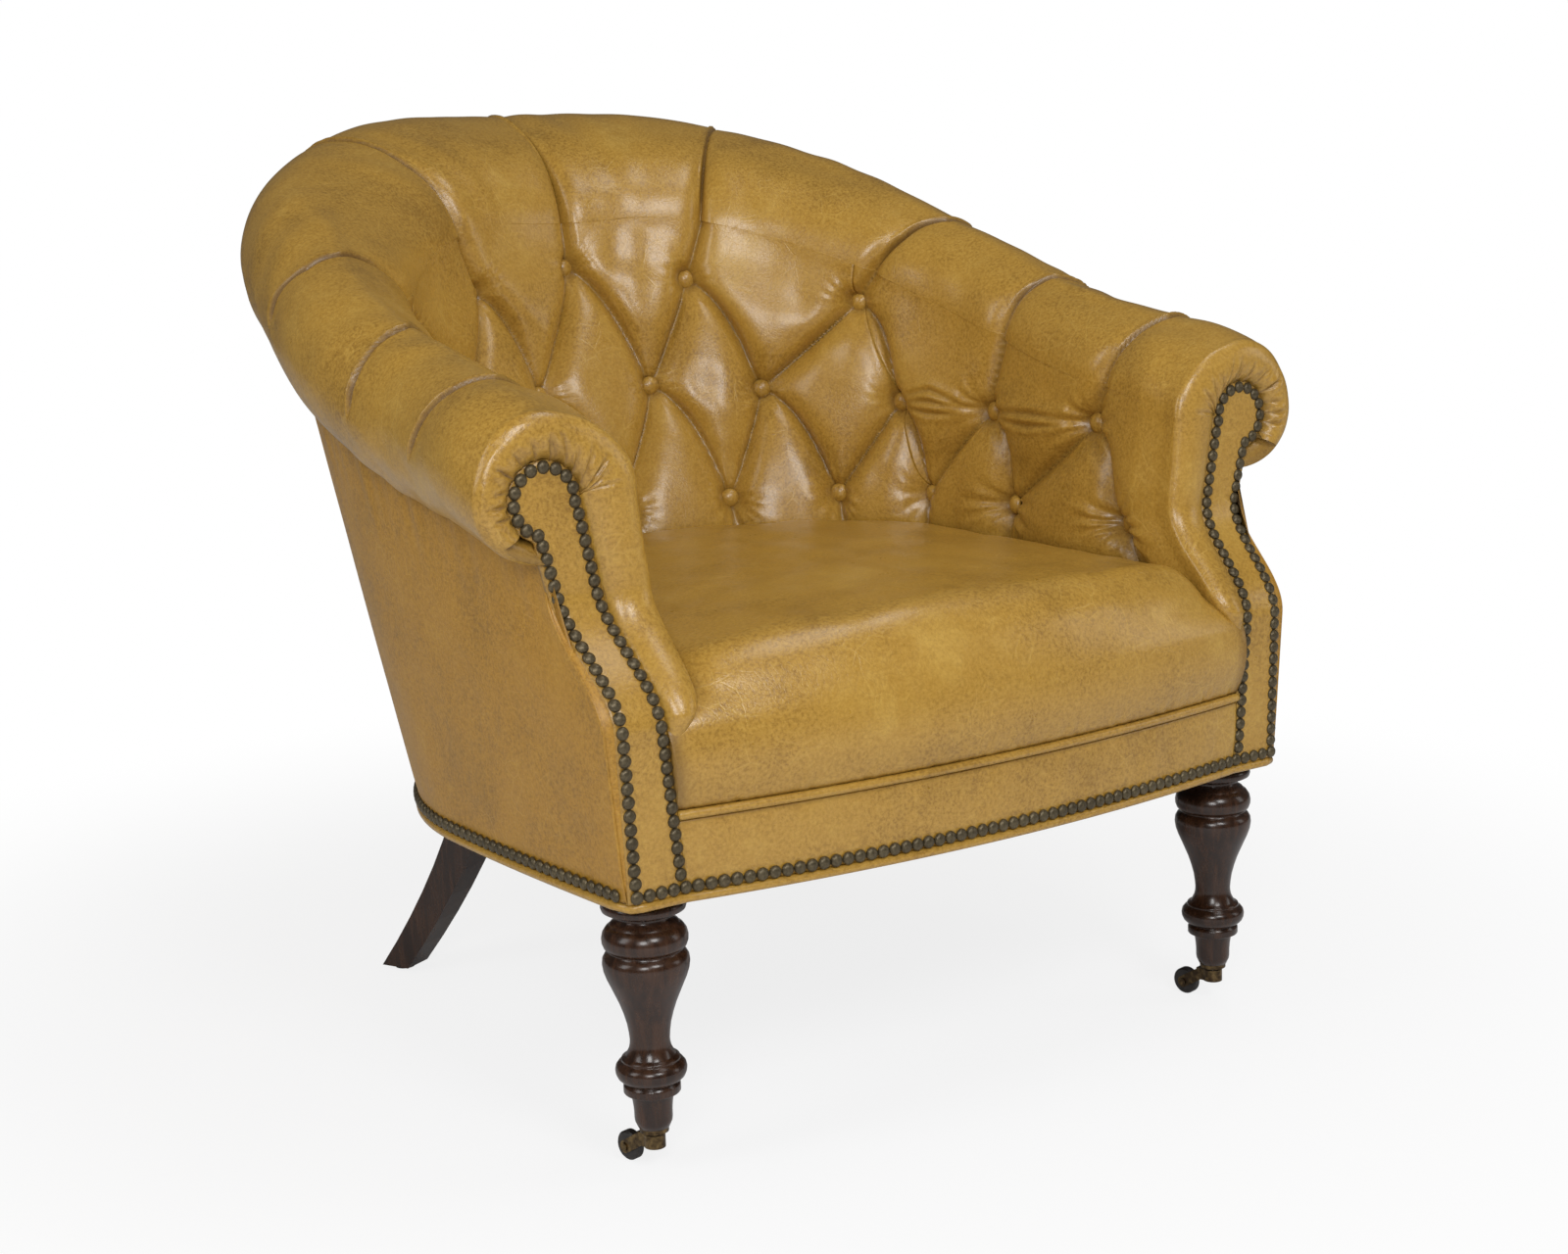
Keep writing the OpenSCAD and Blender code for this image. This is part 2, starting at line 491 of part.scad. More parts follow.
pleats = concat(
    [for (k = [0:4]) link(row_button(6 + k), row_button(k))],
    [for (k = [0:4]) link(row_button(6 + k), row_button(k + 1))],
    [for (k = [0:2]) link(row_button(11 + k), row_button(6 + k))],
    [for (k = [1:2]) link(row_button(11 + k), row_button(5 + k))],
    [link([-0.103, mid_row_z(0.103)], row_button(0)), link([-0.103, mid_row_z(0.103)], row_button(11))],
    [for (k = [0:5]) link(row_button(k), [seat_row[k], pad_foot_z])],
    [for (k = [0:2]) link(row_button(11 + k), [roll_pleats[k], inner_top_z(1 - roll_pleats[k])])],
    [for (k = [3:4]) link(row_button(6 + k), [roll_pleats[k], inner_top_z(1 - roll_pleats[k])])]);
function from_pleat(p, l) = let (w = l[1] - l[0], k = clamp01((p - l[0]) * w / (w * w))) norm(p - l[0] - k * w);
function tuft(t, z) =
    let (p = spot(abs(t), z), d = min([for (l = pleats) from_pleat(p, l)]),
         b = min([for (k = buttons) norm(p - spot(k[0], k[1]))]))
    tuft_depth * mix(0.3, 1, arch(d / 40)) * arch(b / 26)
        * arch((z - pad_foot_z + 4) / 30) * mix(0.25, 1, arch((inner_top_z(1 - abs(t)) - z) / 40));

// The pads of the inside, from the seat up to the roll
pad_front_s = [0, 0.004, 0.012, 0.028];
pad_front_swell = [0.15, 0.6, 0.85, 1];
function pad_swell(s) = lookup(s, [for (i = [0:3]) [pad_front_s[i], pad_front_swell[i]]]);
function pad_top_gap(t) = 1 + 3 * ease((abs(t) - 0.94) / 0.04);
function pad_levels(t) = span(pad_foot_z, inner_top_z(1 - abs(t)) - pad_top_gap(t), 14);
function pad_front_face(t, z) = let (s = 1 - abs(t)) sided(t, from_inside(s, z, -tuft(t, z) * pad_swell(s)), z);
function pad_rear(s, z) = mix(panel_in_x(z) - 1 - in_plan(0, z)[0], pad_back, ease(s / 0.07));
function pad_rear_face(t, z) = let (s = 1 - abs(t)) sided(t, from_inside(s, z, pad_rear(s, z)), z);
module pad(ts) sheet([for (t = ts) [for (z = pad_levels(t)) pad_rear_face(t, z)]],
    [for (t = ts) [for (z = pad_levels(t)) pad_front_face(t, z)]]);
function both_ways(ts) = concat([for (i = [len(ts) - 1:-1:1]) -ts[i]], ts);
back_ts = [0, 0.05, 0.103, 0.15, 0.19, 0.238, 0.2875, 0.335, 0.381, 0.43, 0.475, 0.51, 0.54];
arm_ts = [0.54, 0.572, 0.605, 0.635, 0.67, 0.70, 0.725, 0.748, 0.78, 0.82, 0.863, 0.89, 0.916, 0.945];
arm_pad_ts = concat([for (i = [0:len(arm_ts) - 1]) arm_ts[i] + (i == 0 ? split_gap : 0)],
    [for (s = back_to_front(pad_front_s)) 1 - s]);
module button_seats(list) for (b = list)
    button_at(b) cylinder(d = (button_d + 1) / cos(18), h = 2 * tuft_depth, $fn = 10);
module button_at(b) {
    s = 1 - abs(b[0]);
    p = sided(b[0], from_inside(s, b[1], 0), b[1]);
    w = unit(in_plan(s, b[1]) - out_plan(s, b[1]));
    translate(p) rotate([0, 90, atan2(w[1], (b[0] < 0 ? -1 : 1) * w[0])]) children();
}
function back_button(b) = b[0] < arm_split;
back_button_list = concat([for (b = buttons) if (back_button(b)) b],
    [for (b = buttons) if (back_button(b) && b[0] > 0) [-b[0], b[1]]]);
arm_button_list = [for (b = buttons) if (!back_button(b)) b];
module inside_back() color(leather) difference() {
    pad(both_ways(back_ts));
    button_seats(back_button_list);
}
module right_inside_arm() color(leather) difference() {
    pad(arm_pad_ts);
    button_seats([for (b = buttons) if (b[0] > arm_split - 0.05) b]);
}
module left_inside_arm() mirror([1, 0, 0]) right_inside_arm();
button_h = 8;
module button() rotate_extrude($fn = 32) polygon([[0, 0], [button_d / 2, 0], [button_d / 2, button_h * 0.25],
    [button_d * 0.43, button_h * 0.6], [button_d * 0.27, button_h * 0.88], [0, button_h]]);
module back_buttons() color(leather) for (b = back_button_list) button_at(b) translate([0, 0, gap]) button();
module arm_buttons() color(leather) both_sides() for (b = arm_button_list) button_at(b) translate([0, 0, gap]) button();

web_t = 2;
web_gap = 1.7;
web_foot = pad_foot_z - 12;
function web_side(d) = [for (t = span(-0.88, 0.88, 30)) let (s = 1 - abs(t))
    [for (z = span(web_foot, inner_top_z(s) - 14, 4)) sided(t, from_inside(s, z, pad_back + d), z)]];
module back_webbing() color(jute) sheet(web_side(web_gap + web_t), web_side(web_gap));

// The roll over the arms and the back
pleat_half = 0.022;
roll_levels = [0, 0.35, 0.7, 1, 1.35, 1.7, 2, 2.25, 2.5, 2.75, 3];
function pleat_at(t, q) = pleat_depth * max([for (p = roll_pleats) clamp01(1 - abs(abs(t) - p) / pleat_half)])
    * ease((q - 0.9) / 0.9);
function roll_outer(t) = [for (q = roll_levels) roll_point(t, q, pleat_at(t, q))];
function roll_inner(t, back = 0) = [for (q = roll_levels) roll_point(t, q, roll_pad, -back)];
roll_back_ts = [0, 0.022, 0.075, 0.14, 0.205, 0.238, 0.26, 0.282, 0.34, 0.4, 0.46, 0.518, 0.54];
roll_arm_ts = [0.54, 0.562, 0.6, 0.65, 0.698, 0.72, 0.742, 0.785, 0.83, 0.878, 0.9, 0.922, 0.95, 0.97, 0.985];
module back_roll() color(leather) sheet([for (t = both_ways(roll_back_ts)) roll_outer(t)],
    [for (t = both_ways(roll_back_ts)) roll_inner(t)]);
// At the front the roll swells forward round the scroll, each ring as [padding left, how far forward]
front_rings = [[4, -4], [10, 6], [16, 8], [21, 1]];
front_pad = 24;
ring_seat = -face_t - gap;
function front_q(q) = mix(0.5, 3, q / 3);
function front_ring(r) = [for (q = roll_levels) roll_point(1, front_q(q), r[0], r[1])];
function arm_roll_ts() = concat([arm_split + split_gap], [for (i = [1:len(roll_arm_ts) - 1]) roll_arm_ts[i]]);
module right_arm_roll() color(leather) sheet(
    concat([for (t = arm_roll_ts()) roll_outer(t)], [for (r = front_rings) front_ring(r)]),
    concat([for (t = arm_roll_ts()) roll_inner(t, t > 0.98 ? 2 : 0)],
        [for (i = [0:len(front_rings) - 1])
            [for (q = roll_levels) roll_point(1, front_q(q), front_pad, ring_seat - 3 + i * 0.9)]]));
module left_arm_roll() mirror([1, 0, 0]) right_arm_roll();

// Outside leather
cover_start = 0.989;
cover_levels = 12;
function cover_side(ts, d) = [for (t = ts) let (s = 1 - abs(t))
    [for (z = span(outside_z, under_z(s) - 0.8, cover_levels)) sided(t, through(s, z, d), z)]];
module cover(ts) sheet(cover_side(ts, 0), cover_side(ts, skin_t));
module right_outside_cover() color(leather_side) cover(span(arm_split + split_gap, cover_start, 12));
module left_outside_cover() mirror([1, 0, 0]) right_outside_cover();
module outside_back_cover() color(leather_side) cover(span(-arm_split, arm_split, 24));

function face_side(d) = [for (e = [0, 1]) [for (z = face_levels)
    sided(1, [mix(panel_in_x(z), panel_out_x(z), e), face_y(z) + d], z)]];
module right_arm_face() color(leather) sheet(face_side(face_t), face_side(0));
module left_arm_face() mirror([1, 0, 0]) right_arm_face();

// Nails
nail_h = 2.8;
nail_seat = 0.7;
module nail() cylinder(d1 = nail_d, d2 = nail_d * 0.5, h = nail_h, $fn = 24);
scroll_from = -80;
scroll_to = 192;
face_path = concat(
    [for (z = span(nail_z + nail_pitch, scroll_z - scroll_r - 3, 30)) [face_out_x(z), z]],
    arc(scroll_x, scroll_z, scroll_r, scroll_from, scroll_to, 60),
    [for (z = span(scroll_z - scroll_r * 0.4, nail_z + nail_pitch, 34)) [face_in_x(z), z]]);
function face_slope(z) = atan(face_y(z + 0.5) - face_y(z - 0.5));
module right_face_nails() color(antique) for (p = walk(face_path, nail_pitch))
    translate([p[0], face_y(p[1]) + y0, p[1]]) rotate([90 - face_slope(p[1]), 0, 0]) translate([0, 0, nail_seat]) nail();
module left_face_nails() mirror([1, 0, 0]) right_face_nails();
front_path = [for (x = span(-face_out_foot, face_out_foot, 120)) [x, front_y(x)]];
module front_nails() color(antique) for (p = walk(front_path, nail_pitch))
    let (slope = atan((front_y(p[0] + 0.5) - front_y(p[0] - 0.5))))
    translate([p[0], p[1] + y0, nail_z]) rotate([90, 0, slope]) translate([0, 0, nail_seat]) nail();
base_path = [for (t = span(0.984, -0.984, 200)) sided(t, out_plan(1 - abs(t), nail_z), t / 1000)];
function base_lean(s) = atan((out_plan(s, nail_z + 1) - out_plan(s, nail_z)) * way_out(s));
base_walk = walk(base_path, nail_pitch);
module base_nails() color(antique) for (i = [0:len(base_walk) - 1])
    let (p = base_walk[i], w = base_walk[min(i + 1, len(base_walk) - 1)] - base_walk[max(i - 1, 0)])
    translate([p[0], p[1], nail_z]) rotate([0, 90 + base_lean(1 - abs(1000 * p[2])), atan2(-w[0], w[1])])
        translate([0, 0, nail_seat]) nail();

// Front legs, turned: the profile is drawn at this radius and height and stretched to the leg
turned = [36, 201];
leg_h = frame_z - caster_h;
leg_neck_r = 30 * leg_d / 2 / turned[0];
leg_profile = concat([[0, 201], [30, 201], [30, 198.5], [34, 198]], arc(33, 193, 2.2, 60, -60, 4),
    [[34, 188], [26.5, 185.5]], bezier([26.5, 185.5], [21.5, 184], [21.5, 178], [27, 176.5], 6), [[29, 176]],
    arc(25, 165.5, 10.5, 80, -80, 10), [[30, 154], [30, 152.5]],
    arc(29, 145.5, 7, 70, 0, 4), bezier([36, 143], [36, 123], [17, 108], [16.5, 77], 14),
    [[16.7, 73], [17.6, 69.5], [20.2, 63.8], [24.2, 62.6], [24.2, 59.2], [21.5, 58.8]],
    arc(21, 50, 8.8, 88, -88, 10), [[20, 40.5], [23.7, 39.5], [23.7, 31], [17.6, 29.5]],
    bezier([17.6, 29.5], [16, 22], [15.4, 12], [15.6, 6], 6), [[12.5, 0], [0, 0]]);
socket_d = 11;
socket_deep = 44;
module right_front_leg() color(walnut) translate([leg_half, y0, 0]) difference() {
    rotate_extrude($fn = 72)
        polygon([for (p = leg_profile) [p[0] * leg_d / 2 / turned[0], caster_h + p[1] * leg_h / turned[1]]]);
    translate([0, 0, frame_z - leg_bolt_down - 1]) cylinder(d = bolt_bore_d, h = leg_bolt_down + 2, $fn = 32);
    translate([0, 0, caster_h - 1]) cylinder(d = socket_d + 2 * running_fit, h = socket_deep + 2, $fn = 32);
}
module left_front_leg() mirror([1, 0, 0]) right_front_leg();
module leg_bolts() color(steel) both_sides() translate([leg_half, y0, frame_z - leg_bolt_down])
    cylinder(d = bolt_d, h = leg_bolt_down + leg_bolt_up, $fn = 32);

// Rear legs: square, tapered and swept back
glide_h = 4;
glide_d = 20;
rear_top = rear_leg_place(rear_leg_in);
rear_foot_x = rear_top[0] + rear_splay;
rear_foot_y = rear_top[1] + rear_sweep;
rear_way = unit([rear_foot_x, rear_foot_y] - rear_top);
rear_leg_steps = 8;
function rear_leg_mid(u) = mix(rear_top, [rear_foot_x, rear_foot_y], mix(u, u * u, 0.4));
function rear_leg_row(e, o) = [for (u = span(1, 0, rear_leg_steps))
    let (h = mix(rear_leg_top, rear_leg_foot, pow(u, 0.8)) / 2, across = [rear_way[1], -rear_way[0]],
         p = rear_leg_mid(u) + rear_way * o * h + across * e * h) sided(1, p, mix(frame_z, glide_h, u))];
module right_rear_leg() color(walnut) difference() {
    sheet([for (e = [-1, 1]) rear_leg_row(e, 1)], [for (e = [-1, 1]) rear_leg_row(e, -1)]);
    rear_screw(bolt_bore_d, 1);
}
module left_rear_leg() mirror([1, 0, 0]) right_rear_leg();
module rear_screw(d, spare) translate([rear_leg_place(rear_bolt_in)[0], rear_leg_place(rear_bolt_in)[1] + y0,
    frame_z - leg_bolt_down - spare]) cylinder(d = d, h = leg_bolt_down + spare, $fn = 32);
module rear_leg_screws() color(steel) both_sides() rear_screw(bolt_d, 0);
module rear_glides() color(black) both_sides() translate([rear_foot_x, rear_foot_y + y0, 0])
    cylinder(d = glide_d, h = glide_h, $fn = 48);

// Casters: a socket in the leg, a swivelling horn on a stem, and a wheel on its axle
disc_t = 3.5;
socket_h = socket_deep - 4;
stem_bore_d = stem_d + 2 * running_fit;
module at_caster(side) translate([side * leg_half, y0, 0]) rotate([0, 0, 90 + caster_turn]) children();
module caster_socket(side) color(brass) at_caster(side) difference() {
    union() {
        translate([0, 0, caster_h - disc_t]) cylinder(d = 24.5, h = disc_t, $fn = 48);
        translate([0, 0, caster_h - 0.5]) cylinder(d = socket_d, h = socket_h, $fn = 32);
    }
    translate([0, 0, caster_h - disc_t - 1]) cylinder(d = stem_bore_d, h = socket_h + disc_t + 2, $fn = 32);
}
horn_top = caster_h - 6;
horn_foot = wheel_d / 2 + 6.8;
hub_r = 9;
arm_in = wheel_w / 2 + 0.6;
arm_t = 2.2;
arm_r = 5.5;
axle_z = wheel_d / 2;
module fork_arm() translate([0, arm_in + arm_t, 0]) rotate([90, 0, 0]) linear_extrude(arm_t) hull() {
    translate([caster_trail, axle_z]) circle(r = arm_r, $fn = 32);
    translate([10, horn_top - arm_r]) circle(r = arm_r, $fn = 32);
}
module caster_horn(side) color(antique) at_caster(side) difference() {
    union() {
        translate([0, 0, horn_foot]) cylinder(r = hub_r, h = horn_top - horn_foot, $fn = 48);
        translate([2, -arm_in - arm_t, horn_foot]) cube([12, 2 * (arm_in + arm_t), horn_top - horn_foot]);
        fork_arm();
        mirror([0, 1, 0]) fork_arm();
    }
    translate([0, 0, horn_foot - 1]) cylinder(d = stem_bore_d, h = horn_top, $fn = 32);
    translate([caster_trail, arm_in + arm_t + 1, axle_z]) rotate([90, 0, 0])
        cylinder(d = axle_d + 2 * running_fit, h = 2 * (arm_in + arm_t + 1), $fn = 32);
}
collar_t = caster_h - disc_t - horn_top - gap;
module caster_stem(side) color(steel) at_caster(side) {
    translate([0, 0, horn_foot]) cylinder(d = stem_d, h = caster_h + socket_h - 6 - horn_foot, $fn = 32);
    translate([0, 0, horn_top]) cylinder(d = stem_d + 5, h = collar_t, $fn = 32);
}
rivet_h = 1.2;
module caster_axle(side) color(brass) at_caster(side)
    translate([caster_trail, 0, axle_z]) rotate([90, 0, 0]) {
        cylinder(d = axle_d, h = 2 * (arm_in + arm_t), center = true, $fn = 32);
        for (k = [-1, 1]) translate([0, 0, k * (arm_in + arm_t + rivet_h / 2)])
            cylinder(d = axle_d + 3, h = rivet_h, center = true, $fn = 32);
    }
module caster_wheel(side) color(black) at_caster(side)
    translate([caster_trail, 0, axle_z]) rotate([90, 0, 0]) rotate_extrude($fn = 64) polygon([
        [axle_d / 2 + running_fit, -wheel_w / 2], [wheel_d / 2 - 1.5, -wheel_w / 2], [wheel_d / 2, 1.5 - wheel_w / 2],
        [wheel_d / 2, wheel_w / 2 - 1.5], [wheel_d / 2 - 1.5, wheel_w / 2], [axle_d / 2 + running_fit, wheel_w / 2]]);
module left_caster_socket() caster_socket(-1);
module right_caster_socket() caster_socket(1);
module left_caster_horn() caster_horn(-1);
module right_caster_horn() caster_horn(1);
module left_caster_stem() caster_stem(-1);
module right_caster_stem() caster_stem(1);
module left_caster_axle() caster_axle(-1);
module right_caster_axle() caster_axle(1);
module left_caster_wheel() caster_wheel(-1);
module right_caster_wheel() caster_wheel(1);

front_rail();
left_side_rail();
right_side_rail();
rear_rail();
left_front_block();
right_front_block();
rear_leg_blocks();
left_arm_stump();
right_arm_stump();
left_arm_rail();
right_arm_rail();
top_rail();
back_posts();
seat_springs();
spring_clips();
seat_deck();
seat_foam();
seat_cover();
front_band();
seat_welt();
back_webbing();
left_inside_arm();
right_inside_arm();
inside_back();
left_arm_roll();
right_arm_roll();
back_roll();
left_outside_cover();
right_outside_cover();
outside_back_cover();
left_arm_face();
right_arm_face();
base_welt();
dust_cover();
left_face_nails();
right_face_nails();
front_nails();
base_nails();
back_buttons();
arm_buttons();
left_front_leg();
right_front_leg();
left_rear_leg();
right_rear_leg();
leg_bolts();
rear_leg_screws();
rear_glides();
left_caster_socket();
right_caster_socket();
left_caster_horn();
right_caster_horn();
left_caster_stem();
right_caster_stem();
left_caster_axle();
right_caster_axle();
left_caster_wheel();
right_caster_wheel();
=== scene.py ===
"""Looks of a tufted barrel-back accent chair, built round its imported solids.

Metres in the scene, millimetres in the classes. +Z is up and the chair faces -Y.
Distances called "back" are measured from the axes of the front legs.
"""

import logging
import math
from dataclasses import dataclass
from enum import Enum
from functools import cached_property
from typing import Callable, Dict, List, Optional, Sequence, Tuple

import bmesh
import bpy
import numpy as np
from mathutils import Matrix, Vector


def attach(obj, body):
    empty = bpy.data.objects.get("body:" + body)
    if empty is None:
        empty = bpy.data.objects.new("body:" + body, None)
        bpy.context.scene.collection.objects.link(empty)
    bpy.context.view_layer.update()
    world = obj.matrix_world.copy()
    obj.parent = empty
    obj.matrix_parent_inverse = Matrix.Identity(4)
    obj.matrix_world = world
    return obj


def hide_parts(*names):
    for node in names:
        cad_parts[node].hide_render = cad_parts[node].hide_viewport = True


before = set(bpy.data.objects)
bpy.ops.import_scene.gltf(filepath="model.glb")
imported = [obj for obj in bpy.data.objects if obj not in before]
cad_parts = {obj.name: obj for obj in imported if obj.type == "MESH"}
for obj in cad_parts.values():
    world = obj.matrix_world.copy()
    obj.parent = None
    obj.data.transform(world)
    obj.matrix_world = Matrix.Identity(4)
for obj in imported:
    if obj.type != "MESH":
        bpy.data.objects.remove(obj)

log = logging.getLogger("chair")
MM = 0.001
# Points closer than this are joined, in metres
SAME_PLACE = 1e-6
# Farther than any crease or button, in millimetres
FAR_OFF = 1e9
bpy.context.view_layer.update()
Colour = Tuple[float, float, float]


# Small helpers on arrays of numbers

def clamp01(v: np.ndarray) -> np.ndarray:
    """Values held between 0 and 1."""
    return np.clip(v, 0.0, 1.0)


def mix(a: np.ndarray, b: np.ndarray, t: np.ndarray) -> np.ndarray:
    """The value a share t of the way from a to b."""
    return a + (b - a) * t


def ease(t: np.ndarray) -> np.ndarray:
    """A slow start and a slow stop between 0 and 1."""
    return (1 - np.cos(np.pi * clamp01(t))) / 2


def arch(t: np.ndarray) -> np.ndarray:
    """A quarter of a circle, steep at 0 and flat at 1."""
    return np.sqrt(1 - (1 - clamp01(t)) ** 2)


def bell(d: np.ndarray, width: float) -> np.ndarray:
    """A soft bump of height 1, narrow as its width."""
    return np.exp(-(d / width) ** 2)


def ripple(x: np.ndarray, seed: int, lengths: Sequence[float]) -> np.ndarray:
    """A seeded sum of sine waves, between about -1 and 1.

    Args:
        x: Where to read it.
        seed: Sets the phases.
        lengths: The wavelengths.

    Returns:
        The height of the ripple at each place.
    """
    phases = np.random.default_rng(seed).uniform(0, 2 * np.pi, len(lengths))
    waves = [np.sin(2 * np.pi * x / w + p) for w, p in zip(lengths, phases)]
    return sum(waves) / math.sqrt(len(lengths))


# The lines that the whole body follows

@dataclass(frozen=True)
class BodyLines:
    """The plan curves and heights that every piece of the body shares, in millimetres."""

    base_front_half: float = 353
    base_half: float = 367
    base_turn: float = 240
    base_rear: float = 570
    front_bow: float = 28
    frame_z: float = 238
    face_low: float = 43
    face_high: float = 25
    face_bend_z: float = 382
    face_bend_h: float = 106
    face_w: float = 42
    scroll_r: float = 27
    crest_front_half: float = 374
    crest_half: float = 396
    crest_turn: float = 330
    crest_rear: float = 800
    arm_z: float = 652
    back_z: float = 873
    scroll_dip: float = 18
    roll_out: float = 61
    roll_in_arm: float = 64
    roll_in_back: float = 121
    roll_lean: float = 30
    roll_drop_arm: float = 122
    roll_drop_back: float = 160
    roll_wide_back: float = 100
    well_half: float = 305
    well_turn: float = 340
    well_rear: float = 555
    seam_z: float = 310
    seat_edge_z: float = 428
    seat_bulge: float = 9
    nail_d: float = 10.6
    nail_pitch: float = 11.1
    welt_d: float = 8
    skin_t: float = 3
    side_share: float = 0.31
    arm_split: float = 0.54
    gap: float = 0.3
    front_bulge: float = 13
    welt_flats: int = 18
    front_fall: float = 6

    @property
    def y0(self) -> float:
        """Where the axes of the front legs are in the part's frame."""
        return (self.face_low + self.front_bow + self.seat_bulge - self.crest_rear - self.roll_out) / 2

    @property
    def welt_z(self) -> float:
        """Height of the middle of the base welt."""
        return self.frame_z + (self.welt_d - 1) / 2

    @property
    def outside_z(self) -> float:
        """Height where the outside leather starts."""
        return self.welt_z + self.welt_d / 2 + self.gap

    @property
    def nail_z(self) -> float:
        """Height of the row of nails round the base."""
        return self.welt_z + (self.welt_d + self.nail_d) / 2 + self.gap

    @property
    def pad_foot_z(self) -> float:
        """Height of the foot of the inside padding, under the seat's edge."""
        return self.seat_edge_z - 24

    @property
    def scroll_x(self) -> float:
        """How far out the middle of each scroll is."""
        return self.crest_front_half - 2

    @property
    def scroll_z(self) -> float:
        """Height of the middle of each scroll."""
        return self.arm_z - self.scroll_dip - self.roll_in_arm - 8

    @property
    def nail_edge(self) -> float:
        """From a row of nails to the edge of the panel under it."""
        return self.nail_d / 2 + 0.4

    @property
    def face_out_foot(self) -> float:
        """How far out the outer row of face nails starts."""
        return self.base_front_half - 7

    def turn_angle(self, s: np.ndarray) -> np.ndarray:
        """Angle round the curved part of the plan, in radians."""
        return np.radians(90) * clamp01((s - self.side_share) / (1 - self.side_share))

    def plan(self, s: np.ndarray, front: float, half: float, first: np.ndarray, turn: float,
             rear: float) -> np.ndarray:
        """A plan curve from the front of an arm, s = 0, to the middle of the back, s = 1.

        Args:
            s: Place along the curve.
            front: Half width at the front.
            half: Half width at the widest.
            first: How far back the curve starts.
            turn: How far back it starts to turn.
            rear: How far back it reaches.

        Returns:
            The places as an array with x and y last.
        """
        u = clamp01(s / self.side_share)
        a = self.turn_angle(s)
        along = s <= self.side_share
        x = np.where(along, mix(front, half, np.sin(np.pi / 2 * u)), half * np.cos(a))
        y = np.where(along, mix(first, turn, u), turn + (rear - turn) * np.sin(a))
        return np.stack(np.broadcast_arrays(x, y), -1)

    def way_out(self, s: np.ndarray) -> np.ndarray:
        """The direction straight out of the body, in plan."""
        a = self.turn_angle(s)
        return np.stack([np.cos(a), np.sin(a)], -1)

    def face_y(self, z: np.ndarray) -> np.ndarray:
        """How far back the arm faces are at a height."""
        return mix(-self.face_low, self.face_high, ease((z - self.face_bend_z) / self.face_bend_h))

    def crest_z(self, s: np.ndarray) -> np.ndarray:
        """Height of the crest of the roll."""
        rise = (self.back_z - self.arm_z) * ease((s - 0.02) / 0.88)
        return self.arm_z + rise - self.scroll_dip * (1 - clamp01(s / 0.1)) ** 2

    def crest_plan(self, s: np.ndarray, out: float, first: Optional[np.ndarray] = None) -> np.ndarray:
        """The plan of the crest, some distance out."""
        return self.plan(s, self.crest_front_half + out, self.crest_half + out,
                         self.face_high if first is None else first, self.crest_turn, self.crest_rear + out)

    def roll_in(self, s: np.ndarray) -> np.ndarray:
        """How far the roll reaches in from its crest."""
        return mix(self.roll_in_arm, self.roll_in_back, ease((s - 0.25) / 0.75))

    def roll_fall(self, s: np.ndarray) -> np.ndarray:
        """How far the roll comes down inside."""
        return self.roll_in(s) + mix(4, -4, ease((s - 0.25) / 0.75))

    def to_back(self, s: np.ndarray) -> np.ndarray:
        """0 on the arms and 1 on the back."""
        return ease((s - 0.45) / 0.5)

    def roll_drop(self, s: np.ndarray) -> np.ndarray:
        """How far the roll hangs down outside."""
        return mix(self.roll_drop_arm, self.roll_drop_back, self.to_back(s))

    def roll_wide(self, s: np.ndarray) -> np.ndarray:
        """How far down the roll is widest."""
        return mix(self.roll_in_arm + 4, self.roll_wide_back, self.to_back(s))

    def lean(self, s: np.ndarray) -> np.ndarray:
        """How far the crest leans in."""
        return self.roll_lean * ease(s / 0.2) * ease((0.64 - s) / 0.22)

    def under_z(self, s: np.ndarray) -> np.ndarray:
        """Height of the underside of the roll."""
        return self.crest_z(s) - self.roll_drop(s)

    def inner_top_z(self, s: np.ndarray) -> np.ndarray:
        """Height where the inside padding meets the roll."""
        return self.crest_z(s) - self.roll_fall(s)

    def base_point(self, s: np.ndarray, inset: float, first: Optional[np.ndarray] = None) -> np.ndarray:
        """The base line, some distance in from the leather."""
        return self.plan(s, self.base_front_half - inset, self.base_half - inset,
                         -self.face_low if first is None else first, self.base_turn, self.base_rear - inset)

    def out_plan(self, s: np.ndarray, z: np.ndarray) -> np.ndarray:
        """The outside of the body between the base and the roll."""
        f = self.face_y(z)
        k = ((z - self.outside_z) / (self.under_z(s) - self.outside_z))[..., None]
        return mix(self.base_point(s, 0, f), self.crest_plan(s, 0, f), k)

    def in_plan(self, s: np.ndarray, z: np.ndarray) -> np.ndarray:
        """The inside of the body at the depth of the buttons."""
        f = self.face_y(z)
        k = ((z - self.seat_edge_z) / (self.inner_top_z(s) - self.seat_edge_z))[..., None]
        low = self.plan(s, self.well_half - 1, self.well_half, f, self.well_turn, self.well_rear)
        high = self.crest_plan(s, 0, f) - self.way_out(s) * self.roll_in(s)[..., None]
        return mix(low, high, k)

    def front_y(self, x: np.ndarray) -> np.ndarray:
        """The front of the rail and of the arm faces, in plan."""
        foot = self.face_out_foot - self.face_w - self.nail_edge
        bow = np.maximum(0, 1 - (x / foot) ** 2)
        return -self.face_low - self.front_bow * bow

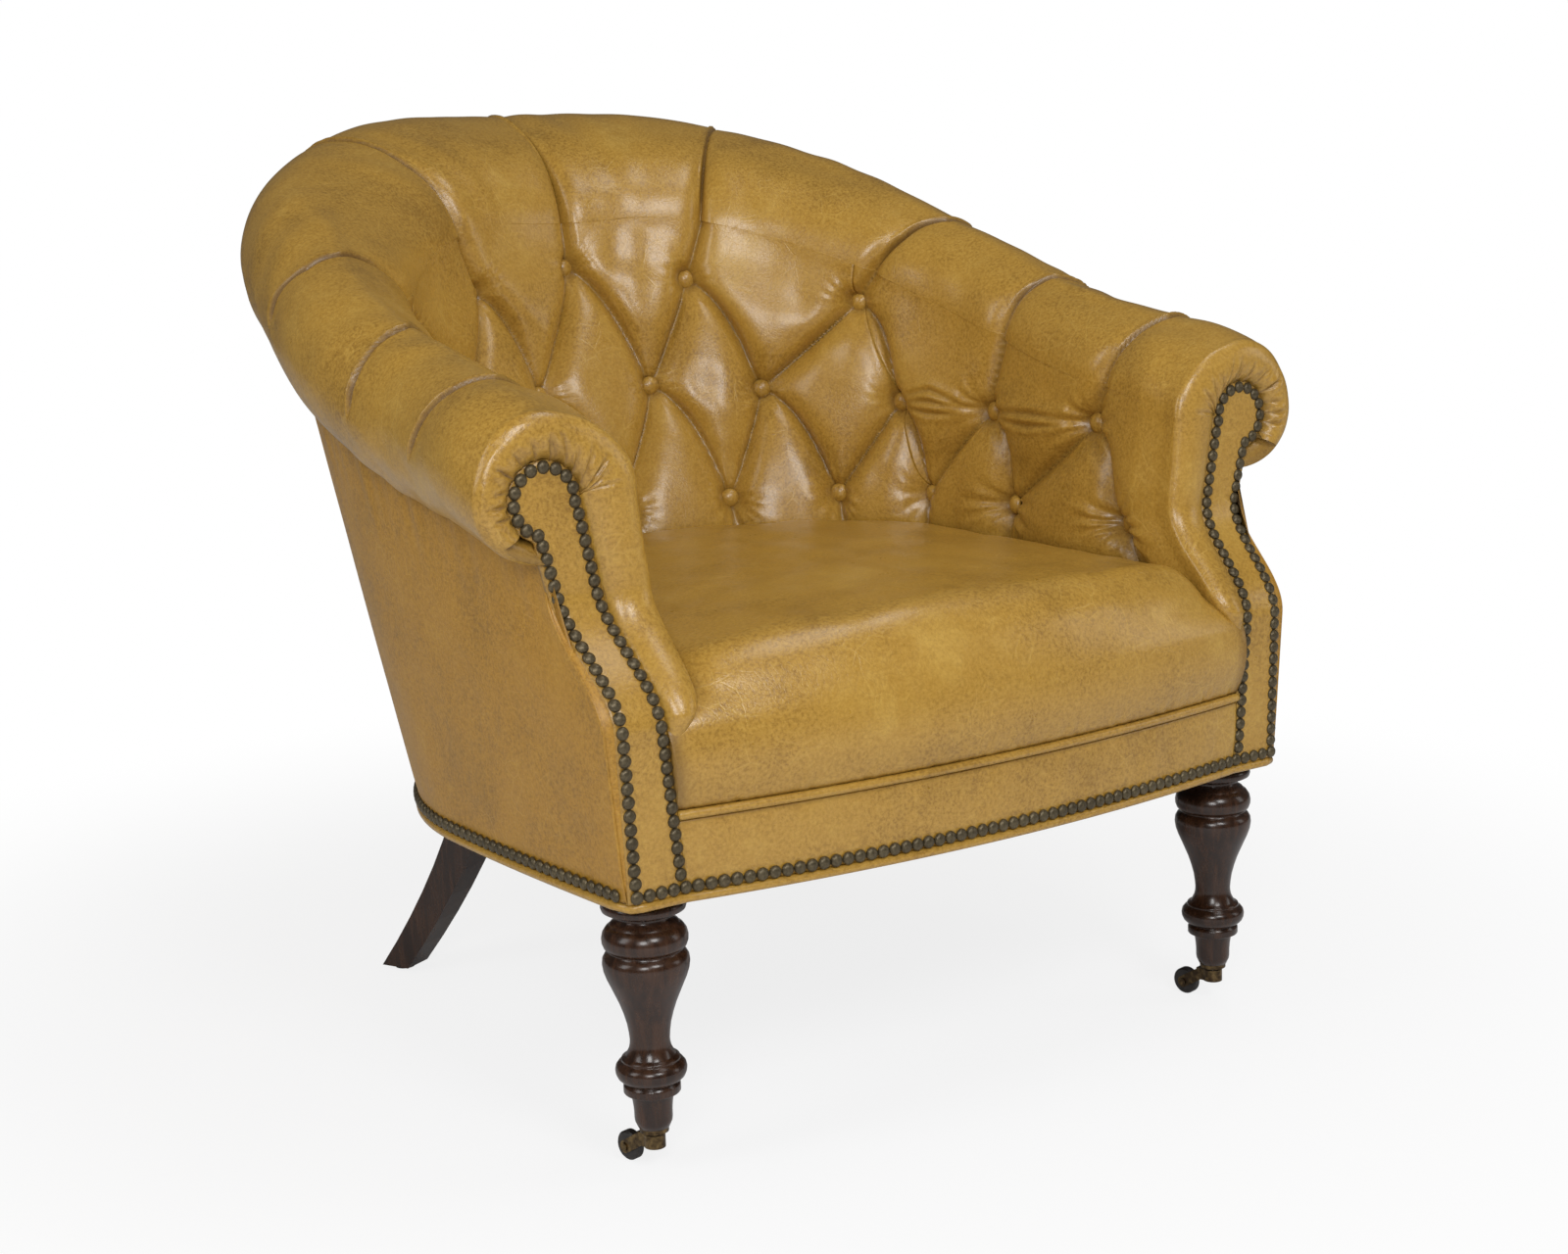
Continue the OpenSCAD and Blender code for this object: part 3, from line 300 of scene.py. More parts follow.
    def roll_xz(self, s: np.ndarray, q: np.ndarray, pad: float) -> Tuple[np.ndarray, np.ndarray]:
        """A section of the roll: q is 0 under it, 1 at its widest, 2 at its crest and 3 down its inside."""
        wide, fall, l = self.roll_wide(s), self.roll_fall(s), self.lean(s)
        a = np.pi / 2 * (q - np.floor(np.clip(q, 0, 2.999)))
        x = np.where(q < 1, (self.roll_out - l - pad) * np.sin(a),
                     np.where(q < 2, (self.roll_out - pad) * np.cos(a) - l,
                              (l + pad - self.roll_in(s)) * np.sin(a) - l))
        z = np.where(q < 1, -wide - (self.roll_drop(s) - wide - pad) * np.cos(a),
                     np.where(q < 2, -wide + (wide - pad) * np.sin(a), -fall + (fall - pad) * np.cos(a)))
        return x, z

    def roll_point(self, t: np.ndarray, q: np.ndarray, pad: float = 0.0) -> np.ndarray:
        """A place on the roll."""
        s = 1 - np.abs(t)
        x, z = self.roll_xz(s, q, pad)
        p = self.crest_plan(s, 0) + self.way_out(s) * x[..., None]
        return self.sided(t, p, self.crest_z(s) + z)

    def sided(self, t: np.ndarray, p: np.ndarray, z: np.ndarray) -> np.ndarray:
        """A plan place taken to the left or right side, in the part's frame."""
        x, y, z = np.broadcast_arrays(np.where(t < 0, -1, 1) * p[..., 0], p[..., 1] + self.y0, z)
        return np.stack([x, y, z], -1)

    def face_out_x(self, z: np.ndarray) -> np.ndarray:
        """How far out the outer row of face nails is."""
        low = clamp01((z - self.nail_z) / (self.face_bend_z - self.nail_z))
        high = clamp01((z - self.face_bend_z) / (self.scroll_z - 30 - self.face_bend_z))
        return self.face_out_foot + 5 * low + (self.scroll_x - self.face_out_foot) * high ** 1.6

    def face_in_x(self, z: np.ndarray) -> np.ndarray:
        """How far out the inner row of face nails is."""
        low = clamp01((z - self.nail_z) / (self.face_bend_z - self.nail_z))
        high = clamp01((z - self.face_bend_z) / (self.scroll_z - self.face_bend_z))
        foot = self.face_out_foot - self.face_w
        return foot + 12 * low + (self.scroll_x - self.scroll_r - foot - 12) * high ** 1.3


LINES = BodyLines()


# Making and dressing meshes

def placed(name: str, data: bpy.types.ID) -> bpy.types.Object:
    """An object in the scene that holds a mesh, a lamp or a camera."""
    obj = bpy.data.objects.new(name, data)
    bpy.context.scene.collection.objects.link(obj)
    return obj


def finished(name: str, bm: bmesh.types.BMesh) -> bpy.types.Object:
    """A smooth object from a mesh under construction, which is freed."""
    mesh = bpy.data.meshes.new(name)
    bm.to_mesh(mesh)
    bm.free()
    mesh.shade_smooth()
    return placed(name, mesh)


def skin(name: str, points: np.ndarray, fold_shade: Optional[np.ndarray] = None) -> bpy.types.Object:
    """A smooth closed skin through a grid of points.

    Args:
        name: The piece's name.
        points: Places in millimetres, as an array of across by along by 3. The last line along meets
            the first, and the two ends across are closed.
        fold_shade: How much painted shade each point takes in folds, hollows and hidden sides, kept on the
            mesh.

    Returns:
        The new object, in metres.
    """
    m, n = points.shape[:2]
    bm = bmesh.new()
    bmesh.ops.create_grid(bm, x_segments=m - 1, y_segments=n - 1, size=0.5)
    bm.verts.ensure_lookup_table()
    flat = np.array([v.co[:2] for v in bm.verts])
    i = np.rint((flat[:, 0] + 0.5) * (m - 1)).astype(int)
    j = np.rint((flat[:, 1] + 0.5) * (n - 1)).astype(int)
    mesh = bpy.data.meshes.new(name)
    bm.to_mesh(mesh)
    bm.free()
    mesh.vertices.foreach_set("co", (points[i, j] * MM).astype(np.float32).ravel())
    # The fold_shade attribute is painted shade: the leather material darkens where it is high.
    if fold_shade is not None:
        layer = mesh.attributes.new("fold_shade", "FLOAT", "POINT")
        layer.data.foreach_set("value", fold_shade[i, j].astype(np.float32))
    bm = bmesh.new()
    bm.from_mesh(mesh)
    bmesh.ops.remove_doubles(bm, verts=bm.verts, dist=SAME_PLACE)
    bmesh.ops.holes_fill(bm, edges=[e for e in bm.edges if e.is_boundary], sides=0)
    bmesh.ops.recalc_face_normals(bm, faces=bm.faces)
    bm.to_mesh(mesh)
    bm.free()
    mesh.shade_smooth()
    return placed(name, mesh)


def panel(name: str, face: np.ndarray, rear: np.ndarray, fold_shade: np.ndarray, rear_shade: float = 1.0
          ) -> bpy.types.Object:
    """A closed skin of a face and a rear.

    Args:
        name: The piece's name.
        face: Places on the face, as a grid.
        rear: Places on the rear, which go on along from the face's last line.
        fold_shade: The painted shade of the face in its folds and along its edges.
            rear_shade: The painted shade of the rear, the side that is hidden or seen only in gaps.

    Returns:
        The new object.
    """
    ring = np.concatenate([face, rear, face[:, :1]], 1)
    # The rear gets an even painted shade.
    shade_marks = np.concatenate([fold_shade, np.full(rear.shape[:2], rear_shade), fold_shade[:, :1]], 1)
    return skin(name, ring, shade_marks)


def mirrored(obj: bpy.types.Object, name: str) -> bpy.types.Object:
    """A copy of a piece on the other side of the chair."""
    mesh = obj.data.copy()
    mesh.name = name
    bm = bmesh.new()
    bm.from_mesh(mesh)
    bmesh.ops.scale(bm, vec=(-1, 1, 1), verts=bm.verts)
    bmesh.ops.reverse_faces(bm, faces=bm.faces)
    bm.to_mesh(mesh)
    bm.free()
    return placed(name, mesh)


def cord_points(path: np.ndarray, r: float, sides: int, closed: bool = False) -> np.ndarray:
    """Rings of points round a level path.

    Args:
        path: Places along the cord's middle.
        r: The cord's radius.
        sides: Points in each ring.
        closed: Whether the path comes back to its start.

    Returns:
        A grid of points that wraps.
    """
    t = np.roll(path, -1, 0) - np.roll(path, 1, 0) if closed else np.gradient(path, axis=0)
    t[:, 2] = 0
    t /= np.linalg.norm(t, axis=1, keepdims=True)
    a = np.linspace(0, 2 * np.pi, sides + 1)
    side = np.stack([t[:, 1], -t[:, 0], np.zeros(len(t))], -1)
    across, up = np.cos(a)[None, :, None], np.sin(a)[None, :, None]
    rings = path[:, None] + r * (side[:, None] * across + np.array([0, 0, 1.0]) * up)
    if closed:
        rings = np.concatenate([rings, rings[:1]])
    return rings


def walk(path: np.ndarray, pitch: float) -> np.ndarray:
    """Places at equal steps along a path, from its start to its end."""
    d = np.concatenate([[0], np.cumsum(np.linalg.norm(np.diff(path, axis=0), axis=1))])
    count = int(d[-1] // pitch)
    at = np.linspace(0, d[-1], count + 1)
    return np.stack([np.interp(at, d, path[:, k]) for k in range(path.shape[1])], -1)


def turned(profile: Sequence[Tuple[float, float]], flats: int) -> bmesh.types.BMesh:
    """A shape turned round the upright axis.

    Args:
        profile: Radius and height pairs in millimetres, from one end on the axis to the other.
        flats: How many flats the turning has.

    Returns:
        The mesh under construction.
    """
    bm = bmesh.new()
    line = [bm.verts.new((r * MM, 0, z * MM)) for r, z in profile]
    edges = [bm.edges.new(pair) for pair in zip(line, line[1:])]
    bmesh.ops.spin(bm, geom=line + edges, cent=(0, 0, 0), axis=(0, 0, 1), angle=2 * math.pi, steps=flats,
                   use_merge=True)
    bmesh.ops.remove_doubles(bm, verts=bm.verts, dist=SAME_PLACE)
    bmesh.ops.recalc_face_normals(bm, faces=bm.faces)
    return bm


def scattered(name: str, seed: bmesh.types.BMesh, places: Sequence[Matrix]) -> bpy.types.Object:
    """One mesh that holds a copy of a small shape at each of many places.

    Args:
        name: The piece's name.
        seed: The small shape.
        places: Where each copy goes.

    Returns:
        The new object.
    """
    one = bpy.data.meshes.new("one")
    seed.to_mesh(one)
    bm = bmesh.new()
    for place in places:
        first = len(bm.verts)
        bm.from_mesh(one)
        bm.verts.ensure_lookup_table()
        bmesh.ops.transform(bm, matrix=place, verts=bm.verts[first:])
    bpy.data.meshes.remove(one)
    return finished(name, bm)


# Finishes

class Slot(Enum):
    """The record's material slots."""

    LEATHER = "leather"
    OUTSIDE = "outside_leather"
    WALNUT = "walnut"
    BEECH = "beech"
    NAIL = "nail_brass"
    CASTER = "caster_brass"
    STEEL = "steel"
    WEBBING = "webbing"
    DUST = "dust_cloth"
    GLIDE = "glide_plastic"
    RUBBER = "wheel_rubber"


def dress(obj: bpy.types.Object, material: bpy.types.Material, slot: Slot, *nodes: str) -> bpy.types.Object:
    """Gives a piece its material, its body and the solids that it stands for."""
    obj.data.materials.clear()
    obj.data.materials.append(material)
    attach(obj, "chair")
    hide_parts(*nodes)
    log.info("%s: %d faces", obj.name, len(obj.data.polygons))
    return obj


def dress_pair(right: bpy.types.Object, material: bpy.types.Material, slot: Slot, node: str
               ) -> List[bpy.types.Object]:
    """Mirrors a piece of the right side and dresses both.

    Args:
        right: The right side's piece, with right in its name.
        material: What both wear.
        slot: Their slot; not used.
        node: The name of the solid that they stand for, without its side.

    Returns:
        The right piece and the left piece.
    """
    pair = [right, mirrored(right, right.name.replace("right", "left"))]
    for piece, side in zip(pair, ("right_", "left_")):
        dress(piece, material, slot, side + node)
    return pair


class Graph:
    """Short calls for building a tree of shader nodes."""

    def __init__(self, tree: bpy.types.NodeTree) -> None:
        """Starts on an empty tree."""
        self.tree = tree

    def add(self, kind: str, inputs: Optional[Dict] = None, **settings) -> bpy.types.Node:
        """Adds a node, sets it up and plugs in its inputs.

        Args:
            kind: Blender's name of the node.
            inputs: Values or sockets by the input's name or number.
            **settings: Properties of the node.

        Returns:
            The node.
        """
        node = self.tree.nodes.new(kind)
        for key, value in settings.items():
            setattr(node, key, value)
        for key, value in (inputs or {}).items():
            self.plug(node.inputs[key], value)
        return node

    def plug(self, socket: bpy.types.NodeSocket, value) -> None:
        """Links a socket, or sets a plain value."""
        if isinstance(value, bpy.types.NodeSocket):
            self.tree.links.new(value, socket)
        else:
            socket.default_value = value

    def maths(self, operation: str, *values, clamp: bool = False) -> bpy.types.NodeSocket:
        """The result of one operation on numbers."""
        node = self.add("ShaderNodeMath", dict(enumerate(values)), operation=operation, use_clamp=clamp)
        return node.outputs[0]

    def plus(self, total, value, share) -> bpy.types.NodeSocket:
        """A number with a share of another added."""
        return self.maths("ADD", total, self.maths("MULTIPLY", value, share))

    def blend(self, share, a, b) -> bpy.types.NodeSocket:
        """A blend of two colours."""
        return self.add("ShaderNodeMix", {0: share, 6: a, 7: b}, data_type="RGBA").outputs[2]

    def switch(self, share, a, b) -> bpy.types.NodeSocket:
        """A blend of two numbers."""
        return self.add("ShaderNodeMix", {0: share, 2: a, 3: b}, data_type="FLOAT").outputs[0]

    def noise(self, place, scale: float, detail: float = 2, rough: float = 0.5) -> bpy.types.NodeSocket:
        """Smooth noise between 0 and 1."""
        node = self.add("ShaderNodeTexNoise", {"Vector": place, "Scale": scale, "Detail": detail,
                                               "Roughness": rough})
        return node.outputs["Fac"]

    def cells(self, place, scale: float, feature: str) -> bpy.types.NodeSocket:
        """Distances in a pattern of cells."""
        node = self.add("ShaderNodeTexVoronoi", {"Vector": place, "Scale": scale}, feature=feature)
        return node.outputs["Distance"]

    def stretch(self, place, scale: Tuple[float, float, float], turn: Tuple[float, float, float] = (0, 0, 0)
                ) -> bpy.types.NodeSocket:
        """Places scaled and turned, for drawn-out patterns."""
        return self.add("ShaderNodeMapping", {"Vector": place, "Scale": scale, "Rotation": turn}).outputs[0]

    def ramp(self, value, low: float, high: float, first: float = 0, last: float = 1) -> bpy.types.NodeSocket:
        """A value mapped from one span to another, smoothly and held within it."""
        node = self.add("ShaderNodeMapRange", {0: value, 1: low, 2: high, 3: first, 4: last},
                        interpolation_type="SMOOTHSTEP")
        return node.outputs[0]


def new_group(name: str, inputs: Sequence[Tuple[str, str]], outputs: Sequence[Tuple[str, str]]
              ) -> Tuple[bpy.types.NodeTree, Graph, Dict, Dict]:
    """An empty node group with its sockets.

    Args:
        name: The group's name.
        inputs: Names and kinds of what goes in.
        outputs: Names and kinds of what comes out.

    Returns:
        The tree, its graph, the sockets that come in by name, and the sockets to plug by name.
    """
    tree = bpy.data.node_groups.new(name, "ShaderNodeTree")
    for label, kind in inputs:
        tree.interface.new_socket(label, in_out="INPUT", socket_type="NodeSocket" + kind)
    for label, kind in outputs:
        tree.interface.new_socket(label, in_out="OUTPUT", socket_type="NodeSocket" + kind)
    graph = Graph(tree)
    come = graph.add("NodeGroupInput")
    go = graph.add("NodeGroupOutput")
    return tree, graph, {s.name: s for s in come.outputs if s.name}, {s.name: s for s in go.inputs if s.name}


def leather_group() -> bpy.types.NodeTree:
    """The shared pattern of the leather: patches, flecks, grain, veins, scratches and streaks, and painted
    shade towards the crease colour where the Fold mask is high.
    """
    tree, g, come, go = new_group(
        "leather_pattern",
        [("Place", "Vector"), ("Base", "Color"), ("Dark", "Color"), ("Light", "Color"), ("Crease", "Color"),
         ("Streaks", "Float"), ("Fold", "Float")],
        [("Colour", "Color"), ("Roughness", "Float"), ("Height", "Float")])
    place = come["Place"]
    drift = g.add("ShaderNodeTexNoise", {"Vector": place, "Scale": 22.0, "Detail": 2.0}).outputs["Color"]
    shift = g.add("ShaderNodeVectorMath", {0: drift, "Scale": 0.012}, operation="SCALE").outputs[0]
    warped = g.add("ShaderNodeVectorMath", {0: place, 1: shift}, operation="ADD").outputs[0]
    patch = g.noise(place, 9.0, 4, 0.6)
    mottle = g.noise(warped, 62.0, 6, 0.7)
    fine = g.noise(warped, 330.0, 4, 0.65)
    grain = g.cells(place, 640.0, "SMOOTH_F1")
    vein = g.ramp(g.cells(warped, 46.0, "DISTANCE_TO_EDGE"), 0.0, 0.05, 1, 0)
    vein = g.maths("MULTIPLY", vein, g.ramp(g.noise(place, 17.0, 2), 0.50, 0.64))
    crackle = g.ramp(g.cells(warped, 210.0, "DISTANCE_TO_EDGE"), 0.0, 0.12, 1, 0)
    scratch_place = g.stretch(warped, (34.0, 34.0, 260.0), (0.5, 0.9, 0.3))
    off_line = g.maths("ABSOLUTE", g.maths("SUBTRACT", g.noise(scratch_place, 1.0, 1), 0.5))
    scratch = g.ramp(off_line, 0.0, 0.012, 1, 0)
    scratch = g.maths("MULTIPLY", scratch, g.ramp(g.noise(place, 31.0, 1), 0.56, 0.66))
    streak = g.noise(g.stretch(warped, (150.0, 150.0, 13.0)), 1.0, 4, 0.6)
    tone = g.plus(g.maths("MULTIPLY", patch, 0.72), mottle, 0.42)
    tone = g.plus(tone, g.maths("SUBTRACT", streak, 0.5), come["Streaks"])
    low = g.ramp(tone, 0.34, 0.58, 1, 0)
    high = g.ramp(tone, 0.58, 0.86, 0, 1)
    grained = g.ramp(patch, 0.38, 0.62, 1, 0.35)
    layers = ((g.maths("MULTIPLY", low, 0.62), "Dark"), (g.maths("MULTIPLY", high, 0.7), "Light"),
              (g.ramp(fine, 0.45, 0.70, 0, 0.36), "Light"),
              (g.maths("MULTIPLY", g.ramp(fine, 0.36, 0.50, 0.62, 0), grained), "Dark"),
              (g.maths("MULTIPLY", crackle, g.ramp(mottle, 0.4, 0.6, 0.03, 0.16)), "Dark"),
              (g.maths("MULTIPLY", vein, 0.30), "Light"), (g.maths("MULTIPLY", scratch, 0.35), "Light"),
              # Painted shade: folds, hollows and hidden sides blend towards the crease shade colour.
              (g.maths("MULTIPLY", come["Fold"], 0.72, clamp=True), "Crease"))
    colour = come["Base"]
    for share, shade in layers:
        colour = g.blend(share, colour, come[shade])
    rough = g.plus(0.21, mottle, 0.20)
    rough = g.plus(rough, scratch, 0.15)
    rough = g.plus(rough, come["Fold"], 0.2)
    height = g.maths("MULTIPLY", grain, 0.22)
    for value, share in ((mottle, 0.22), (fine, 0.22), (vein, -0.25), (crackle, -0.10)):
        height = g.plus(height, value, share)
    height = g.plus(height, g.maths("MULTIPLY", streak, come["Streaks"]), 0.5)
    g.plug(go["Colour"], colour)
    g.plug(go["Roughness"], rough)
    g.plug(go["Height"], height)
    return tree


def speckle_group() -> bpy.types.NodeTree:
    """A shared pattern for the plain finishes: soft patches, fine specks and drawn-out fibres."""
    tree, g, come, go = new_group(
        "speckle_pattern",
        [("Place", "Vector"), ("Base", "Color"), ("Dark", "Color"), ("Scale", "Float"), ("Drawn", "Vector")],
        [("Colour", "Color"), ("Height", "Float")])
    drawn = g.add("ShaderNodeVectorMath", {0: come["Place"], 1: come["Drawn"]},
                  operation="MULTIPLY").outputs[0]
    node = g.add("ShaderNodeTexNoise", {"Vector": drawn, "Scale": come["Scale"], "Detail": 5.0,
                                        "Roughness": 0.6})
    soft = g.noise(come["Place"], 12.0, 2)
    share = g.maths("ADD", g.maths("MULTIPLY", node.outputs["Fac"], 0.7), g.maths("MULTIPLY", soft, 0.3))
    g.plug(go["Colour"], g.blend(g.ramp(share, 0.38, 0.66), come["Dark"], come["Base"]))
    g.plug(go["Height"], node.outputs["Fac"])
    return tree


def new_material(name: str) -> Tuple[bpy.types.Material, Graph, bpy.types.Node]:
    """A material with its graph and its surface shader."""
    material = bpy.data.materials.new(name)
    material.use_nodes = True
    shader = next(n for n in material.node_tree.nodes if n.type == "BSDF_PRINCIPLED")
    return material, Graph(material.node_tree), shader


def patterned(g: Graph, shader: bpy.types.Node, pattern: bpy.types.NodeTree, **values) -> bpy.types.Node:
    """Colours a material with a shared pattern.

    Args:
        g: The material's graph.
        shader: Its surface shader.
        pattern: The shared pattern.
        **values: What goes into the pattern beside the place, where a colour is three numbers.

    Returns:
        The pattern's node.
    """
    node = g.add("ShaderNodeGroup", node_tree=pattern)
    g.plug(node.inputs["Place"], g.add("ShaderNodeTexCoord").outputs["Object"])
    for key, value in values.items():
        is_colour = node.inputs[key].type == "RGBA"
        g.plug(node.inputs[key], (*value, 1.0) if is_colour else value)
    g.plug(shader.inputs["Base Color"], node.outputs["Colour"])
    return node


def roughened(g: Graph, shader: bpy.types.Node, height: bpy.types.NodeSocket, strength: float, deep: float
              ) -> None:
    """Bumps a surface by a height, whose full depth is in metres."""
    bump = g.add("ShaderNodeBump", {"Strength": strength, "Distance": deep, "Height": height})
    g.plug(shader.inputs["Normal"], bump.outputs[0])


@dataclass(frozen=True)
class LeatherFinish:
    """A waxed leather with a soft shine."""

    name: str
    base: Colour = (0.430, 0.238, 0.036)
    dark: Colour = (0.235, 0.120, 0.016)
    light: Colour = (0.600, 0.378, 0.080)
    # The colour of the painted shade in folds, hollows and hidden sides
    crease: Colour = (0.095, 0.043, 0.010)
    streaks: float = 0.0
    bump: float = 0.42
    dull: float = 0.0
    coat: float = 0.26
    coat_rough: float = 0.20
    grain_deep: float = 0.0011

    def build(self, pattern: bpy.types.NodeTree) -> bpy.types.Material:
        """Makes the material.

        Args:
            pattern: The shared leather pattern.

        Returns:
            The material, which reads the fold_shade attribute of the mesh that wears it and darkens the colour
            there as painted shade.
        """
        material, g, shader = new_material(self.name)
        fold_shade = g.add("ShaderNodeAttribute", attribute_name="fold_shade").outputs["Fac"]
        group = patterned(g, shader, pattern, Base=self.base, Dark=self.dark, Light=self.light,
                          Crease=self.crease, Streaks=self.streaks, Fold=fold_shade)
        g.plug(shader.inputs["Roughness"], g.maths("ADD", group.outputs["Roughness"], self.dull))
        roughened(g, shader, group.outputs["Height"], self.bump, self.grain_deep)
        shader.inputs["Specular IOR Level"].default_value = 0.5
        shader.inputs["Coat Weight"].default_value = self.coat
        shader.inputs["Coat Roughness"].default_value = self.coat_rough
        return material


@dataclass(frozen=True)
class PlainFinish:
    """A wood, metal, plastic or cloth with a little life in its colour."""

    name: str
    base: Colour
    dark: Colour
    rough: float
    metal: float = 0.0
    scale: float = 60.0
    drawn: Tuple[float, float, float] = (1.0, 1.0, 1.0)
    bump: float = 0.0
    coat: float = 0.0
    coat_rough: float = 0.08
    rough_span: float = 0.16
    grain_deep: float = 0.0006

    def build(self, pattern: bpy.types.NodeTree) -> bpy.types.Material:
        """Makes the material.

        Args:
            pattern: The shared speckle pattern.

        Returns:
            The material.
        """
        material, g, shader = new_material(self.name)
        group = patterned(g, shader, pattern, Base=self.base, Dark=self.dark, Scale=self.scale,
                          Drawn=self.drawn)
        shader.inputs["Metallic"].default_value = self.metal
        height = group.outputs["Height"]
        g.plug(shader.inputs["Roughness"],
               g.maths("MULTIPLY_ADD", height, self.rough_span, self.rough - self.rough_span / 2))
        shader.inputs["Coat Weight"].default_value = self.coat
        shader.inputs["Coat Roughness"].default_value = self.coat_rough
        if self.bump:
            roughened(g, shader, height, self.bump, self.grain_deep)
        return material


LEATHERS: Dict[Slot, LeatherFinish] = {
    Slot.LEATHER: LeatherFinish("camel_leather"),
    Slot.OUTSIDE: LeatherFinish("camel_leather_outside", base=(0.420, 0.210, 0.020),
                                light=(0.560, 0.330, 0.060), streaks=0.22, bump=0.4, dull=0.12, coat=0.04),
}
PLAINS: Dict[Slot, PlainFinish] = {
    Slot.WALNUT: PlainFinish("walnut_lacquer", (0.052, 0.021, 0.009), (0.018, 0.007, 0.003), 0.25, 0, 40,
                             (4.0, 4.0, 0.35), 0.0, 0.12),
    Slot.BEECH: PlainFinish("beech_wood", (0.56, 0.38, 0.22), (0.44, 0.27, 0.14), 0.6, 0, 60,
                            (0.4, 4.0, 4.0), 0.2),
    Slot.NAIL: PlainFinish("nail_brass", (0.140, 0.110, 0.060), (0.075, 0.058, 0.032), 0.40, 0.55, 420,
                           bump=0.2),
    Slot.CASTER: PlainFinish("caster_brass", (0.250, 0.170, 0.075), (0.060, 0.040, 0.024), 0.36, 1, 180,
                             bump=0.2),
    Slot.STEEL: PlainFinish("steel", (0.42, 0.42, 0.43), (0.28, 0.28, 0.29), 0.35, 1, 150),
    Slot.WEBBING: PlainFinish("webbing", (0.40, 0.30, 0.18), (0.24, 0.17, 0.09), 0.9, 0, 400, bump=0.6),
    Slot.DUST: PlainFinish("dust_cloth", (0.020, 0.020, 0.021), (0.008, 0.008, 0.009), 0.95, 0, 700,
                           bump=0.5),
    Slot.GLIDE: PlainFinish("glide_plastic", (0.030, 0.028, 0.026), (0.018, 0.017, 0.016), 0.5),
    Slot.RUBBER: PlainFinish("wheel_rubber", (0.030, 0.024, 0.020), (0.014, 0.011, 0.009), 0.42, 0, 200,
                             bump=0.1),
}


def build_finishes() -> Dict[Slot, bpy.types.Material]:
    """Every material by its slot."""
    hide, speck = leather_group(), speckle_group()
    made = {slot: finish.build(hide) for slot, finish in LEATHERS.items()}
    made.update({slot: finish.build(speck) for slot, finish in PLAINS.items()})
    return made


# Creases drawn on an unrolled sheet

# A place on an unrolled sheet in millimetres, and a crease as a line of them
Spot = Tuple[float, float]
Crease = Tuple[Spot, ...]


def near_crease(x: np.ndarray, y: np.ndarray, path: Sequence[Spot]
                ) -> Tuple[np.ndarray, np.ndarray, np.ndarray]:
    """How far places are from a crease.

    Args:
        x: Places across the sheet.
        y: Places up the sheet.
        path: The crease's places.

    Returns:
        The distance, the side as -1 or 1, with 1 on the left of the way that the path runs, and the
        share of the path's length at the nearest place.
    """
    best = np.full(x.shape, FAR_OFF)
    side = np.ones(x.shape)
    share = np.zeros(x.shape)
    pts = np.array(path, float)
    lengths = np.linalg.norm(np.diff(pts, axis=0), axis=1)
    ends = np.concatenate([[0], np.cumsum(lengths)]) / lengths.sum()
    for i, (a, b) in enumerate(zip(pts, pts[1:])):
        w = b - a
        k = clamp01(((x - a[0]) * w[0] + (y - a[1]) * w[1]) / (w @ w))
        dx, dy = x - a[0] - k * w[0], y - a[1] - k * w[1]
        d = np.hypot(dx, dy)
        closer = d < best
        best = np.where(closer, d, best)
        side = np.where(closer, np.sign(w[0] * dy - w[1] * dx), side)
        share = np.where(closer, ends[i] + (ends[i + 1] - ends[i]) * k, share)
    return best, side, share


def bowed(a: Spot, b: Spot, bow: float, steps: int = 9) -> Crease:
    """A crease from a to b that swells to its left by a bow."""
    pa, pb = np.array(a, float), np.array(b, float)
    w = pb - pa
    left = np.array([-w[1], w[0]]) / np.hypot(*w)
    ks = np.linspace(0, 1, steps + 1)
    return tuple(tuple(pa + w * k + left * bow * math.sin(math.pi * k ** 0.72)) for k in ks)


def blown_up(hold: np.ndarray, cell: float, rounds: int = 420, eager: float = 1.9) -> np.ndarray:
    """Blows up a sheet that is held down here and there, like leather over its padding.

    Args:
        hold: How firmly each cell of a grid is held down.
        cell: Size of a cell in millimetres.
        rounds: How often the sheet is worked over.
        eager: How far each round overshoots the balance of the cells beside.

    Returns:
        The height of the sheet under an even pressure.
    """
    high = np.zeros(hold.shape)
    checks = np.indices(hold.shape).sum(0) % 2 == 0
    for _ in range(rounds):
        for turn in (checks, ~checks):
            wide = np.pad(high, 1, mode="edge")
            beside = wide[2:, 1:-1] + wide[:-2, 1:-1] + wide[1:-1, 2:] + wide[1:-1, :-2]
            high += np.where(turn, eager * ((beside + cell * cell) / (4 + hold) - high), 0)
    return np.maximum(high, 0)


